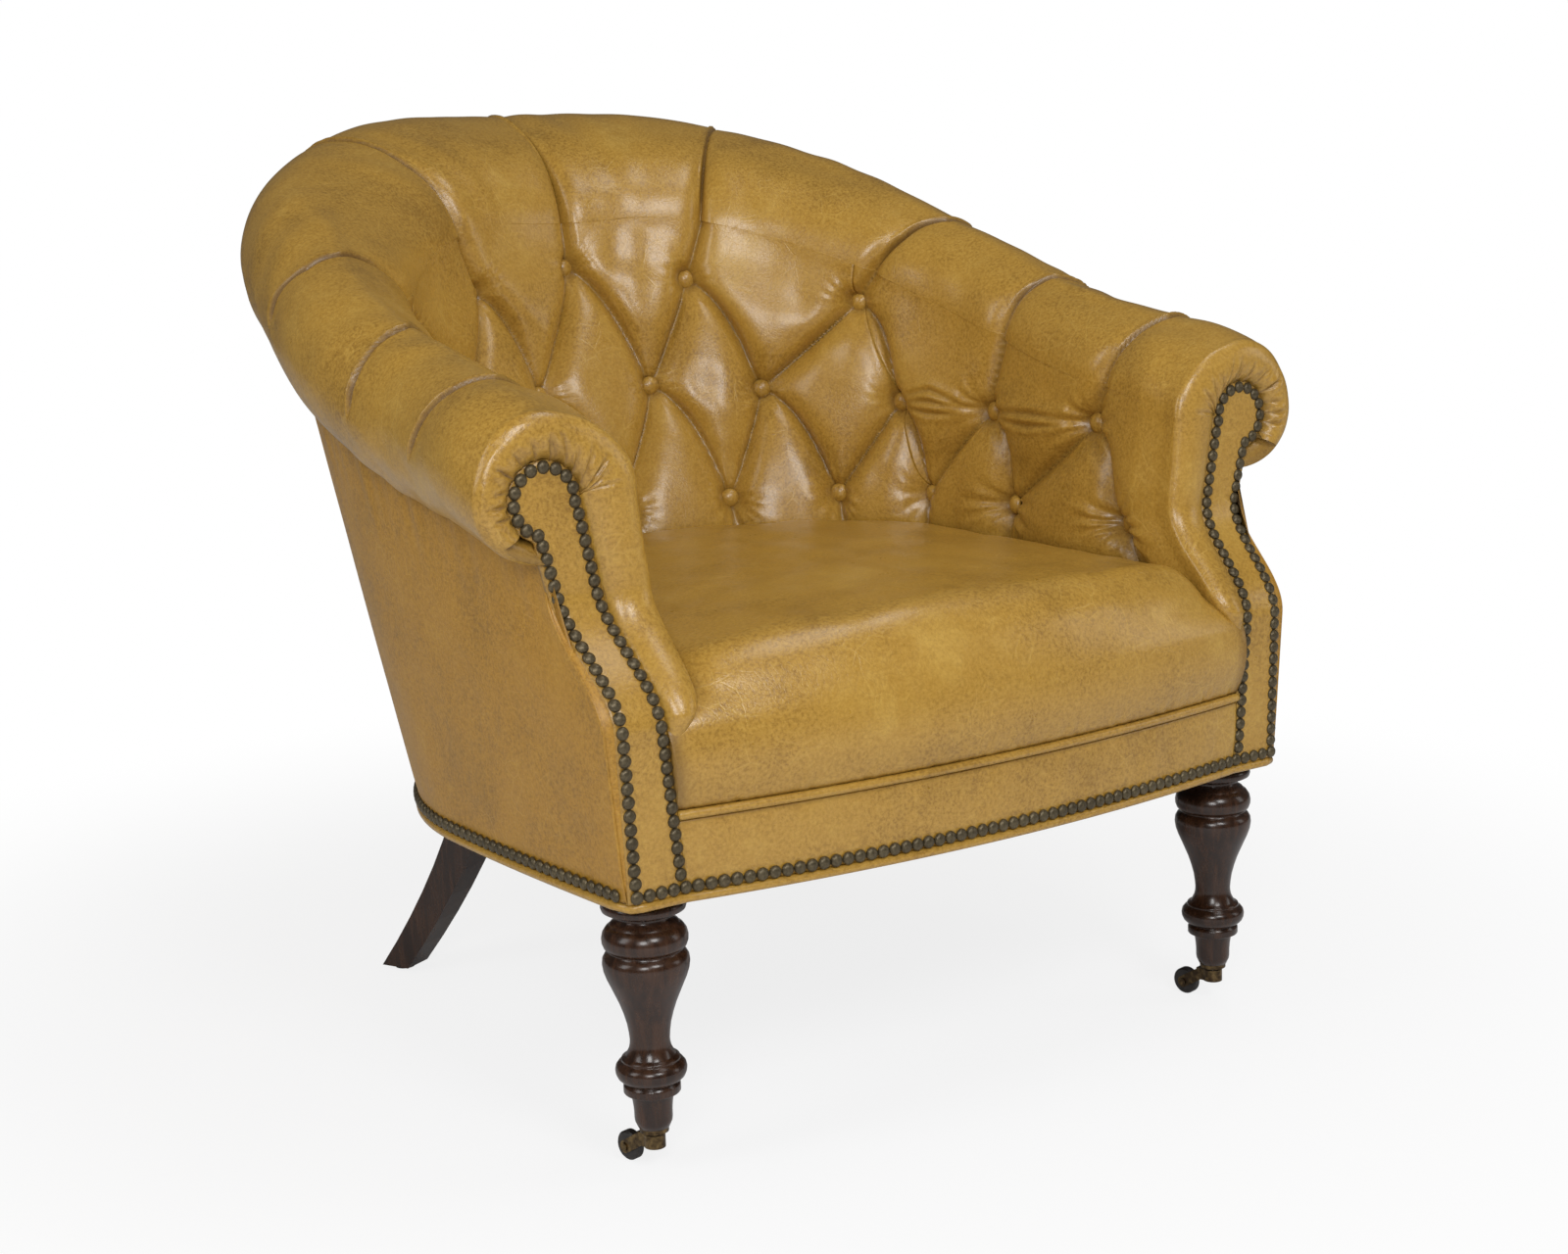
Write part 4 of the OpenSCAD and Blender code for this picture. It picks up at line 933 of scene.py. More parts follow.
@dataclass(frozen=True)
class Tufting:
    """The diamond tufting: rows of buttons and the pleats between them."""

    lines: BodyLines = LINES
    run: float = 790
    deep: float = 35
    floor: float = 0.22
    reach: float = 45
    round_off: float = 1.5
    cell: float = 2.2
    sheet_over: float = 86
    roll_quarter: float = 100
    joint: float = 0.72
    bow: float = 17
    slight_bow: float = 3
    knee_run: float = 125
    pleat_reach: float = 60
    gather_reach: float = 76
    button_d: float = 21
    seat_row: Tuple[float, ...] = (0, 0.19, 0.381, 0.572, 0.748, 0.916)
    mid_row: Tuple[float, ...] = (0.103, 0.2875, 0.524, 0.70, 0.863)
    top_row: Tuple[float, ...] = (0, 0.207, 0.475)
    top_drops: Tuple[float, ...] = (48, 67, 45)
    # Where each of the roll's pleats is: places round its section, and places round the body there
    pleat_q: Tuple[float, ...] = (3.0, 2.66, 2.1, 1.7, 1.3, 0.9)
    pleat_t: Tuple[Tuple[float, ...], ...] = (
        (0.0, 0.0, 0.0, 0.0, 0.0, 0.0), (0.257, 0.263, 0.272, 0.280, 0.285, 0.287),
        (0.514, 0.545, 0.580, 0.588, 0.574, 0.564), (0.714, 0.723, 0.745, 0.754, 0.755, 0.752),
        (0.882, 0.896, 0.915, 0.908, 0.888, 0.868))

    def rows(self) -> Tuple[List[Spot], List[Spot], List[Spot]]:
        """The seat, middle and top rows of buttons on the right, as places round and up."""
        L = self.lines
        c = [(t, L.seat_edge_z + 30) for t in self.seat_row]
        low, high = L.seat_edge_z + 122, L.seat_edge_z + 154
        b = [(t, float(mix(low, high, ease((0.7 - t) / 0.7)))) for t in self.mid_row]
        a = [(t, float(L.inner_top_z(1 - t) - d)) for t, d in zip(self.top_row, self.top_drops)]
        return c, b, a

    def buttons(self) -> List[Spot]:
        """Every button on both sides."""
        right = [p for row in self.rows() for p in row]
        return right + [(-t, z) for t, z in right if t > 0]

    def at(self, p: Spot) -> Spot:
        """A place on the unrolled sheet."""
        return p[0] * self.run, p[1]

    def pleats(self) -> List[Crease]:
        """Every pleat on both sides."""
        c, b, a = self.rows()
        L, spans = self.lines, []
        for k in range(5):
            spans += [(b[k], c[k]), (b[k], c[k + 1])]
        spans += [(a[k], b[k]) for k in range(3)] + [(a[k], b[k - 1]) for k in (1, 2)]
        found = []
        for side in (1, -1):
            for top, low in spans:
                p, q = self.at((side * top[0], top[1])), self.at((side * low[0], low[1]))
                found.append(bowed(p, q, self.bow if q[0] > p[0] else self.slight_bow))
            for t, z in c[0 if side > 0 else 1:]:
                for lean in (-5, 5):
                    x = side * t * self.run
                    found.append(((x, z), (x + lean * 0.5, z - 24), (x + lean, L.pad_foot_z)))
            for k in range(0 if side > 0 else 1, 5):
                start, ts = (a[k] if k < 3 else b[k]), self.pleat_t[k]
                run_on = [self.at((side * t,
                                   float(L.inner_top_z(np.array(1 - t))) + (3 - q) * self.roll_quarter))
                          for t, q in zip(ts[:3], self.pleat_q)]
                found.append((self.at((side * start[0], start[1])), *run_on))
        return found

    def ruffles(self) -> List[Crease]:
        """The soft level folds between the arm's middle buttons."""
        b = self.rows()[1]
        found = []
        for i, j, ups in ((2, 3, (7, -6, 19)), (3, 4, (6, -7))):
            for up in ups:
                p, q = self.at(b[i]), self.at(b[j])
                start, end = (p[0] + 20, p[1] + up * 0.4), (q[0] - 20, q[1] + up * 0.4)
                middle = ((p[0] + q[0]) / 2, (p[1] + q[1]) / 2 + up)
                found.append((start, middle, end))
        return found + [tuple((-x, y) for x, y in path) for path in found]

    def nearest(self, x: np.ndarray, z: np.ndarray) -> Tuple[np.ndarray, np.ndarray]:
        """The nearest pleat.

        Args:
            x: Places along the unrolled sheet.
            z: Heights.

        Returns:
            How far the nearest pleat is, and 1 on the side whose leather lies over, else -1.
        """
        best, side = np.full(x.shape, FAR_OFF), np.ones(x.shape)
        for path in self.pleats():
            lo = min(p[0] for p in path) - self.pleat_reach
            hi = max(p[0] for p in path) + self.pleat_reach
            near = (x > lo) & (x < hi)
            if not near.any():
                continue
            d, turn, _ = near_crease(x[near], z[near], path)
            up = turn * np.sign(path[-1][0] - path[0][0] or 1)
            old = best[near]
            side[near] = np.where(d < old, up, side[near])
            best[near] = np.minimum(d, old)
        return best, side

    @cached_property
    def sheet(self) -> Tuple[np.ndarray, np.ndarray, np.ndarray]:
        """The unrolled sheet as its places along and up, and how far it is blown up at each."""
        L = self.lines
        xs = np.arange(-self.run, self.run + self.cell, self.cell)
        zs = np.arange(L.pad_foot_z - 40, float(L.inner_top_z(np.array(1.0))) + self.sheet_over, self.cell)
        x, z = np.meshgrid(xs, zs, indexing="ij")
        hold = 2.6 * bell(self.nearest(x, z)[0], 2.0)
        for t, up in self.buttons():
            hold += 6 * bell(np.maximum(np.hypot(x - t * self.run, z - up) - self.button_d * 0.36, 0), 2.0)
        hold += 9 * (z < self.foot_z(x / self.run))
        return xs, zs, blown_up(hold, self.cell)

    def fullness(self, x: np.ndarray, z: np.ndarray) -> np.ndarray:
        """The padding's share of its full height at a place on the unrolled sheet."""
        xs, zs, high = self.sheet
        along = np.clip((x - xs[0]) / self.cell, 0, len(xs) - 1.001)
        up = np.clip((z - zs[0]) / self.cell, 0, len(zs) - 1.001)
        i, k = along.astype(int), up.astype(int)
        low = mix(high[i, k], high[i + 1, k], along - i)
        over = mix(high[i, k + 1], high[i + 1, k + 1], along - i)
        swollen = (np.sqrt(2 * mix(low, over, up - k)) / self.reach) ** self.round_off
        return mix(self.floor, 1, swollen / (1 + swollen ** 3) ** (1 / 3))

    def knee(self, s: np.ndarray, away: np.ndarray) -> np.ndarray:
        """Padding that rounds off the bend where the leaning inside meets the upright start of the roll.

        Args:
            s: Place round the body.
            away: How far it is from the bend, in millimetres.

        Returns:
            How far the padding stands out.
        """
        L = self.lines
        low = L.plan(s, L.well_half - 1, L.well_half, np.full(s.shape, L.face_high), L.well_turn, L.well_rear)
        high = L.crest_plan(s, 0) - L.way_out(s) * L.roll_in(s)[..., None]
        lean = np.linalg.norm(high - low, axis=-1) / (L.inner_top_z(s) - L.seat_edge_z)
        return lean * self.knee_run / 4 * (1 - clamp01(np.abs(away) / self.knee_run)) ** 2

    def foot_z(self, t: np.ndarray) -> np.ndarray:
        """Height of the foot of the padding, which reaches lower at the fronts of the arms."""
        return self.lines.pad_foot_z - 30 * ease((np.abs(t) - 0.93) / 0.06)

    def swell(self, s: np.ndarray) -> np.ndarray:
        """How full the puffs are near the front of the arm."""
        return np.interp(s, (0.015, 0.045), (0.80, 1))

    def relief(self, t: np.ndarray, z: np.ndarray) -> Tuple[np.ndarray, np.ndarray]:
        """The height of the puffs above the buttons' seats.

        Args:
            t: Places round the inside.
            z: Heights.

        Returns:
            The height in millimetres and the painted shade along the pleats, round the buttons and along the
            ruffles, from 0 to 1.
        """
        L = self.lines
        x = t * self.run
        best, side = self.nearest(x, z)
        top = L.inner_top_z(1 - np.abs(t)) - z
        h = self.fullness(x, z) + 0.025 * side * bell(best - 6, 5) - 0.12 * bell(best, 1.8)
        # Painted shade in and beside each pleat.
        fold_shade = 0.50 * bell(best, 1.3) + 0.10 * bell(best, 6)
        knob, gather = np.full(t.shape, FAR_OFF), np.zeros(t.shape)
        for k, (bt, bz) in enumerate(self.buttons()):
            dx, dz = x - bt * self.run, z - bz
            d = np.hypot(dx, dz)
            near = d < self.gather_reach
            if not near.any():
                continue
            angle = np.arctan2(dz[near], dx[near])
            strong = 2.5 if abs(bt) > 0.6 else 1.7 if bz < L.seat_edge_z + 60 else 1.2
            rays = np.sin(angle * 13 + 2.3 * np.sin(angle * 2 + k) + k)
            rays = np.sign(rays) * np.abs(rays) ** 1.5
            level = 0.35 + 0.65 * np.abs(np.cos(angle)) ** 1.5
            reach = 8 + 5 * min(strong, 2) + 3 * np.sin(angle * 3 + k)
            spread = bell(np.maximum(d[near] - 17, 0), reach) * ease((d[near] - 9) / 8)
            gather[near] += strong * rays * level * spread
            knob[near] = np.minimum(knob[near], d[near])
        h *= arch((knob - self.button_d * 0.36) / 20)
        # Painted shade in the dimple round each button.
        fold_shade += 0.5 * bell(np.maximum(knob - self.button_d * 0.44, 0), 3.5)
        lift = np.zeros(t.shape)
        for path in self.ruffles():
            d, _, along = near_crease(x, z, path)
            weight = np.sin(np.pi * clamp01(along)) ** 0.6
            lift -= 2.2 * bell(d, 2.4) * weight
            lift += 1.5 * bell(d - 6.5, 3.5) * weight
            # Painted shade along each ruffle.
            fold_shade += 0.42 * bell(d, 1.5) * weight
        soft = 0.6 * ripple(x + 0.6 * z, 3, (97, 71)) * ripple(z - 0.5 * x, 4, (89, 61))
        edge = arch((z - self.foot_z(t) + 3) / 36)
        high = self.deep * h * edge * mix(self.joint, 1, ease(top / 105))
        high += (lift + soft * h + 0.9 * gather) * edge * ease(top / 16) + self.knee(1 - np.abs(t), top)
        return np.maximum(high, 0.2), clamp01(fold_shade)


TUFTS = Tufting()


@dataclass(frozen=True)
class Inside:
    """The three padded skins of the inside, which meet in the pleats at the corners of the back."""

    lines: BodyLines = LINES
    tufts: Tufting = TUFTS
    fine: float = 2.7
    levels: int = 124
    back_levels: int = 7
    pad_back: float = 12
    arm_run: float = 360
    arm_from: float = 0.54
    button_lift: float = 1.2
    back_run: float = 860
    seams_z: Tuple[float, ...] = (404, 458, 566, 672, 760)
    seams_t: Tuple[float, ...] = (0.575, 0.572, 0.524, 0.475, 0.514)

    def seam(self, z: np.ndarray) -> np.ndarray:
        """Where the arm's skin meets the back's at a height."""
        return np.interp(z, self.seams_z, self.seams_t)

    def faces(self, u: np.ndarray, v: np.ndarray, arm: bool) -> Tuple[np.ndarray, np.ndarray, np.ndarray]:
        """The front and the rear of a skin.

        Args:
            u: Places across it from 0 to 1.
            v: Places up it from 0 to 1.
            arm: Whether this is the right arm or the back.

        Returns:
            The front, the rear and the painted shade of the front.
        """
        L = self.lines
        guess = self.seam(np.full(u.shape, 560.0))
        for _ in range(4):
            t = mix(guess, 1 - 1e-4, u) if arm else guess * (2 * u - 1)
            z = mix(self.tufts.foot_z(t), L.inner_top_z(1 - np.abs(t)), v)
            guess = self.seam(z)
        s = 1 - np.abs(t)
        high, fold_shade = self.tufts.relief(t, z)
        inner, outer = L.in_plan(s, z), L.out_plan(s, z)
        way = outer - inner
        way /= np.linalg.norm(way, axis=-1, keepdims=True)
        front = L.sided(t, inner - way * (high * self.tufts.swell(s))[..., None], z)
        edge = Faces().in_x(z)
        deep = mix(edge - 1 - L.in_plan(np.zeros(s.shape), z)[..., 0], self.pad_back, ease(s / 0.07))
        rear = L.sided(t, inner + way * deep[..., None], z)
        return front, rear, fold_shade

    def bolster(self, front: np.ndarray, rear: np.ndarray, fold_shade: np.ndarray
                ) -> Tuple[np.ndarray, np.ndarray, np.ndarray]:
        """Rounds the arm's skin forward and over to the edge of the arm face.

        Args:
            front: The last line of the front.
            rear: The last line of the rear.
            fold_shade: The painted shade of the last line.

        Returns:
            The lines that go on round the front, those of the rear and their painted shade, darkest in the
            crease against the arm face.
        """
        L = self.lines
        z = front[:, 2]
        edge = Faces().in_x(z) + 1.5
        wide = edge - front[:, 0]
        ahead = np.minimum(L.front_bulge, 0.45 * wide)
        y = L.face_y(z) + L.y0
        lines, rears, folds = [], [], []
        for a in np.linspace(0, np.pi, 26)[1:]:
            x = edge - wide * (1 + math.cos(a)) / 2
            back = L.front_fall * (a / np.pi) ** 2
            lines.append(np.stack([x, y + back - ahead * math.sin(a), z], -1))
            rears.append(rear + np.array([0, 8, 0]))
            near = abs(a - np.pi) * wide / 2
            # Painted shade in the crease where the bolster meets the arm face.
            folds.append(clamp01(fold_shade * (1 - a / np.pi) + 0.7 * bell(near, 3.0)))
        return np.array(lines), np.array(rears), np.array(folds)

    def skin_of(self, name: str, arm: bool) -> bpy.types.Object:
        """Builds one closed skin."""
        across = int((self.arm_run if arm else self.back_run) / self.fine) + 1
        us = np.linspace(0, 1, across)
        ups = np.concatenate([np.linspace(0, 1, self.levels)[:-1], [0.9994, 1]])
        front, _, fold_shade = self.faces(*np.meshgrid(us, ups, indexing="ij"), arm)
        _, rear, _ = self.faces(*np.meshgrid(us, np.linspace(1, 0, self.back_levels), indexing="ij"), arm)
        if arm:
            more = self.bolster(front[-1], rear[-1], fold_shade[-1])
            front, rear, fold_shade = (np.concatenate(pair) for pair in zip((front, rear, fold_shade), more))
        return panel(name, front, rear, fold_shade)

    def build(self, finish: bpy.types.Material) -> None:
        """Builds and dresses the back and both arms."""
        back = dress(self.skin_of("inside_back_tufted", False), finish, Slot.LEATHER, "inside_back")
        right = self.skin_of("right_inside_arm_tufted", True)
        for piece in (back, *dress_pair(right, finish, Slot.LEATHER, "inside_arm")):
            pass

    def button_place(self, t: float, z: float, lift: float) -> Matrix:
        """Where a button sits, with its axis out of the leather."""
        L = self.lines
        s = np.array(1 - abs(t))
        zz = np.array(float(z))
        inner, outer = L.in_plan(s, zz), L.out_plan(s, zz)
        way = (inner - outer) / np.linalg.norm(inner - outer)
        p = L.sided(np.array(t), inner + way * lift, zz)
        axis = Vector((-way[0] if t < 0 else way[0], way[1], 0.0))
        turn = Vector((0, 0, 1)).rotation_difference(axis).to_matrix().to_4x4()
        return Matrix.Translation(Vector(p) * MM) @ turn

    def build_buttons(self, finish: bpy.types.Material) -> None:
        """Builds the covered buttons, in one mesh for the back and one for the arms."""
        r = self.tufts.button_d / 2
        profile = [(0, -1.5), (r * 0.9, -1.5), (r, 0.6), (r * 0.97, 2.6), (r * 0.86, 4.6), (r * 0.66, 6.4),
                   (r * 0.38, 7.6), (r * 0.16, 8.1), (0, 8.2)]
        seed = turned(profile, 28)
        for name, on_arm in (("back_buttons", False), ("arm_buttons", True)):
            places = [self.button_place(t, z, self.button_lift) for t, z in self.tufts.buttons()
                      if (abs(t) >= self.arm_from) == on_arm]
            dress(scattered(name + "_covered", seed, places), finish, Slot.LEATHER, name)
        seed.free()


@dataclass(frozen=True)
class Rolls:
    """The padded roll over the arms and the back, in three skins that meet in pleats."""

    lines: BodyLines = LINES
    fine: float = 1.5
    run: float = 985
    round_run: float = 105
    back_share: float = 0.56
    arm_share: float = 0.46
    outer_levels: int = 112
    inner_levels: int = 9
    inner_pad: float = 24
    groove: float = 3.0
    groove_w: float = 1.7
    lip: float = 2.4
    lip_off: float = 3.2
    dip: float = 2.2
    dip_w: float = 26
    step: float = 1.1
    scroll_folds: int = 19
    rim_r: float = 31.5
    rim_turn: float = 2.6
    last_s: float = 0.015
    last_back: float = 14.8
    tufts: Tufting = TUFTS

    def sheet_xy(self, t: np.ndarray, q: np.ndarray) -> Tuple[np.ndarray, np.ndarray]:
        """Places on the unrolled roll, in millimetres."""
        return t * self.run, q * self.round_run

    def relief(self, t: np.ndarray, q: np.ndarray) -> Tuple[np.ndarray, np.ndarray]:
        """How far the leather stands above the roll's plain form, and the painted shade in its pleats and along
        its underside.
        """
        x, y = self.sheet_xy(t, q)
        L = self.lines
        s = 1 - np.abs(t)
        quarter = np.pi / 2 * np.sqrt(((L.roll_in(s) - L.lean(s)) ** 2 + L.roll_fall(s) ** 2) / 2)
        up = (3 - q) * quarter
        places, tables = [3 - v for v in self.tufts.pleat_q], self.tufts.pleat_t
        apart = np.min([np.abs(np.abs(t) - np.interp(3 - q, places, ts)) for ts in tables], 0)
        sideways = apart * self.tufts.run
        start = 1 - ease(up / (0.78 * quarter))
        full = self.tufts.fullness(t * self.tufts.run, L.inner_top_z(s) + (3 - q) * self.tufts.roll_quarter)
        full -= 0.10 * bell(sideways, 2.0)
        high = self.tufts.deep * self.tufts.joint * full * start + self.tufts.knee(s, up)
        high *= self.tufts.swell(s)
        away = ease(up / 40)
        # Painted shade where the inside's pleats run on over the roll.
        fold_shade = 0.55 * bell(sideways, 1.5) * start
        for sign in (-1, 1):
            for k, ts in enumerate(self.tufts.pleat_t):
                if k == 0 and sign < 0:
                    continue
                px, py = self.sheet_xy(np.array(ts) * sign, np.array(self.tufts.pleat_q))
                near = np.abs(x - px.mean()) < 130
                if not near.any():
                    continue
                d, side, along = near_crease(x[near], y[near], list(zip(px, py)))
                fade = ease((1 - along) / (0.42 if k < 2 else 0.12)) * away[near]
                signed = d * side * sign
                high[near] -= fade * (self.groove * bell(d, self.groove_w) + self.dip * bell(d, self.dip_w))
                high[near] += fade * self.lip * bell(signed + self.lip_off, self.groove_w)
                high[near] += fade * self.step * clamp01(-signed / 3) * bell(d, 22)
                # Painted shade in the groove of each pleat.
                fold_shade[near] += fade * (1.2 * bell(signed + 0.7, 1.5) + 0.08 * bell(d, 7))
        drift = x + 0.5 * y
        high += 0.7 * ripple(drift, 11, (113, 83)) * ripple(y - 0.4 * x, 12, (97, 61)) * ease(up / 16)
        lower = bell(q - 0.55, 0.42)
        high += lower * 0.12 * ripple(x + 0.9 * y, 13, (47, 31))
        # Painted shade along the underside of the roll.
        fold_shade += 0.55 * bell(q, 0.05)
        return high, clamp01(fold_shade)

    def seam_t(self, q: np.ndarray) -> np.ndarray:
        """Where the arm's roll meets the back's."""
        return np.interp(3 - q, [3 - v for v in self.tufts.pleat_q], self.tufts.pleat_t[2])

    def levels(self) -> np.ndarray:
        """Places round the outer side of a section, close together at its two ends."""
        return np.concatenate([[0, 0.002], np.linspace(0, 3, self.outer_levels)[1:-1], [2.998, 3]])

    def rings(self, ts_of: Callable[[np.ndarray], np.ndarray], count: int) -> Tuple[np.ndarray, np.ndarray]:
        """Closed sections along a skin.

        Args:
            ts_of: Gives the place round the body for shares along the skin and places round the section.
            count: How many sections.

        Returns:
            The places and the painted shade, full on the hidden inner side.
        """
        u, q = np.meshgrid(np.linspace(0, 1, count), self.levels(), indexing="ij")
        t = ts_of(u, q)
        high, fold_shade = self.relief(t, q)
        outer = self.lines.roll_point(t, q, -high)
        u2, q2 = np.meshgrid(np.linspace(0, 1, count), np.linspace(3, 0, self.inner_levels), indexing="ij")
        inner = self.lines.roll_point(ts_of(u2, q2), q2, np.full(q2.shape, self.inner_pad))
        ring = np.concatenate([outer, inner, outer[:, :1]], 1)
        # The inner side gets full painted shade.
        shade_marks = np.concatenate([fold_shade, np.ones(inner.shape[:2]), fold_shade[:, :1]], 1)
        return ring, shade_marks

    def front(self) -> Tuple[np.ndarray, np.ndarray]:
        """The gathered swelling round the scroll, as sections that close in on the arm face.

        Returns:
            The places and the painted shade of the sections, from the roll's last to the innermost.
        """
        L = self.lines
        turns = [((1 - math.cos(a)) / 2,
                  L.front_bulge * math.sin(a) - L.front_fall * (a / math.pi) ** 2, 0.0)
                 for a in np.linspace(0, math.pi, 46)]
        turns = [(0.0, -self.last_back * k, self.last_s * k) for k in (1, 0.66, 0.33)] + turns
        q0 = self.levels()
        high0, fold_shade0 = self.relief(np.full(q0.shape, 1 - self.last_s), q0)
        rim_q = mix(0.5, 3, q0 / 3)
        rim_angle = np.radians(-45 + 225 * clamp01((rim_q - 0.5) / (self.rim_turn - 0.5)))
        below = clamp01((rim_q - self.rim_turn) / (3 - self.rim_turn))
        rim_z = L.scroll_z + self.rim_r * np.sin(rim_angle)
        rim_z -= (L.scroll_z - float(L.inner_top_z(np.array(0.0)))) * below
        rim_x = np.where(below > 0, Faces().in_x(np.minimum(rim_z, L.scroll_z)) + 1.2,
                         L.scroll_x + self.rim_r * np.cos(rim_angle))
        rng = np.random.default_rng(8)
        spreads = ((-0.09, 0.09), (0.16, 0.5), (0.4, 1.35), (-0.2, 0.2))
        folds = []
        for q in np.linspace(0.12, 2.9, self.scroll_folds):
            aside, first, weight, drift = [rng.uniform(*spread) for spread in spreads]
            folds.append((q + aside, first, weight, drift))
        rings, shade_marks = [], []
        for k, ahead, near in turns:
            s = np.full(q0.shape, near)
            turned_in = ease(np.array(k / 0.2))
            q = mix(q0, rim_q, turned_in)
            outer = L.roll_point(1 - s, q, -high0)
            dent = np.zeros(q0.shape)
            # dark holds painted shade in the gathers round the scroll.
            dark = np.zeros(q0.shape)
            for at, first, weight, drift in folds:
                d = (q0 - at - drift * (k - 0.5)) * mix(82, 52, k)
                grow = ease(np.array((k - first) / 0.35)) * weight
                dent += grow * (3.3 * bell(d, 1.5) - 0.9 * bell(np.abs(d) - 4.4, 2.4))
                dark += grow * 0.66 * bell(d, 1.1)
            x = mix(outer[:, 0], rim_x, k)
            z = mix(outer[:, 2], rim_z, k)
            y = np.full(q0.shape, L.face_high + L.y0 - ahead)
            slope = math.sin(math.pi * min(1.0, k * 1.1))
            y += dent * (0.35 + 0.65 * slope)
            pull = (1 - slope) * dent * 0.6 / np.maximum(np.hypot(x - L.scroll_x, z - L.scroll_z), 1)
            x -= (x - L.scroll_x) * pull
            z -= (z - L.scroll_z) * pull
            inner_q = np.linspace(3, 0, self.inner_levels)
            moved = mix(inner_q, mix(0.5, 3, inner_q / 3), turned_in)
            pad = np.full(inner_q.shape, self.inner_pad + 8 * k)
            inner = L.roll_point(np.ones(inner_q.shape), moved, pad)
            inner[:, 1] += 14 - 8 * k
            outer = np.stack([x, y, z], -1)
            rings.append(np.concatenate([outer, inner, outer[:1]]))
            # Painted shade: the roll's own fades, the gathers darken, a dark line runs at the roll's end and
            # the inner side gets a little.
            fold_shade = clamp01(fold_shade0 * (1 - k) + dark + 0.6 * bell(np.array((1 - k) * 40), 4))
            shade_marks.append(np.concatenate([fold_shade, np.full(len(inner_q), 0.3), fold_shade[:1]]))
        step = L.roll_point(np.full(q0.shape, 1 - self.last_s), q0, -high0) - rings[0][:len(q0)]
        for k, ring in enumerate(rings):
            ring[:len(q0)] += step * (1 - ease(np.array(k / 12)))
            ring[-1] = ring[0]
        return np.array(rings), np.array(shade_marks)

    def build(self, finish: bpy.types.Material) -> None:
        """Builds and dresses the back's roll and both arms' rolls."""
        across = int(2 * self.back_share * self.run / self.fine)
        back = skin("back_roll_padded", *self.rings(lambda u, q: self.seam_t(q) * (2 * u - 1), across))
        dress(back, finish, Slot.LEATHER, "back_roll")
        across = int(self.arm_share * self.run / self.fine)
        ring, shade_marks = self.rings(lambda u, q: mix(self.seam_t(q), 1 - self.last_s, u), across)
        more, folds = self.front()
        right = skin("right_arm_roll_padded", np.concatenate([ring, more]), np.concatenate([shade_marks, folds]))
        for piece in (back, *dress_pair(right, finish, Slot.LEATHER, "arm_roll")):
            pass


@dataclass(frozen=True)
class Seat:
    """The tight crowned seat, its front band and the cord between them."""

    lines: BodyLines = LINES
    seat_side: float = 303
    seat_half: float = 282
    seat_rear: float = 522
    bulge_z: float = 350
    over: float = 60
    crown: float = 22
    floor_z: float = 324

    def side_x(self, z: np.ndarray) -> np.ndarray:
        """Half the width of the front, out to the edges of the arm faces."""
        return np.maximum(self.seat_side, Faces().in_x(np.minimum(z, self.lines.face_bend_z)) + 0.8)

    def top_z(self, u: np.ndarray, y: np.ndarray) -> np.ndarray:
        """Height of the top."""
        L = self.lines
        back = clamp01((y - L.well_turn) / (self.seat_rear - L.well_turn))
        across, along = np.sqrt(np.maximum(0, 1 - u * u)), np.sqrt(1 - 0.8 * back ** 2)
        return L.seat_edge_z - 4 + (self.crown + 4) * across * along

    def spot(self, u: np.ndarray, v: np.ndarray) -> np.ndarray:
        """A place on the leather: v runs up the front, 0 to 0.5, and back over the top."""
        L = self.lines
        tuck = 14 * clamp01((np.abs(u) - 0.9) / 0.1) ** 2
        foot = L.seam_z + L.welt_d / 2 + L.gap
        x0 = u * self.seat_side
        fy = L.front_y(x0)
        a = clamp01(v / 0.2)
        face_z = mix(foot, self.bulge_z, a)
        face = np.stack([u * self.side_x(face_z), fy - L.seat_bulge * np.sin(np.pi / 2 * a), face_z], -1)
        b = np.pi / 2 * clamp01((v - 0.2) / 0.3)
        top = self.top_z(u, np.zeros(u.shape)) - tuck
        z = self.bulge_z + (top - self.bulge_z) * np.sin(b)
        wide = mix(self.side_x(z), self.seat_half, ease((z - L.pad_foot_z + 26) / 30))
        turn = np.stack([u * wide, fy - L.seat_bulge + self.over * (1 - np.cos(b)), z], -1)
        c = clamp01((v - 0.5) / 0.5)
        y1 = fy - L.seat_bulge + self.over
        y = np.where(c < 0.6, mix(y1, L.well_turn, c / 0.6),
                     L.well_turn + (self.seat_rear - L.well_turn) * np.sin(np.radians(78) * (c - 0.6) / 0.4))
        narrow = np.sqrt(np.maximum(0, 1 - clamp01((y - L.well_turn) / (self.seat_rear - L.well_turn)) ** 2))
        deck = np.stack([u * self.seat_half * narrow, y,
                         self.top_z(u, y) - tuck - 10 * clamp01((c - 0.92) / 0.08) ** 2], -1)
        p = np.where((v < 0.2)[..., None], face, np.where((v < 0.5)[..., None], turn, deck))
        p[..., 1] += L.y0
        return p

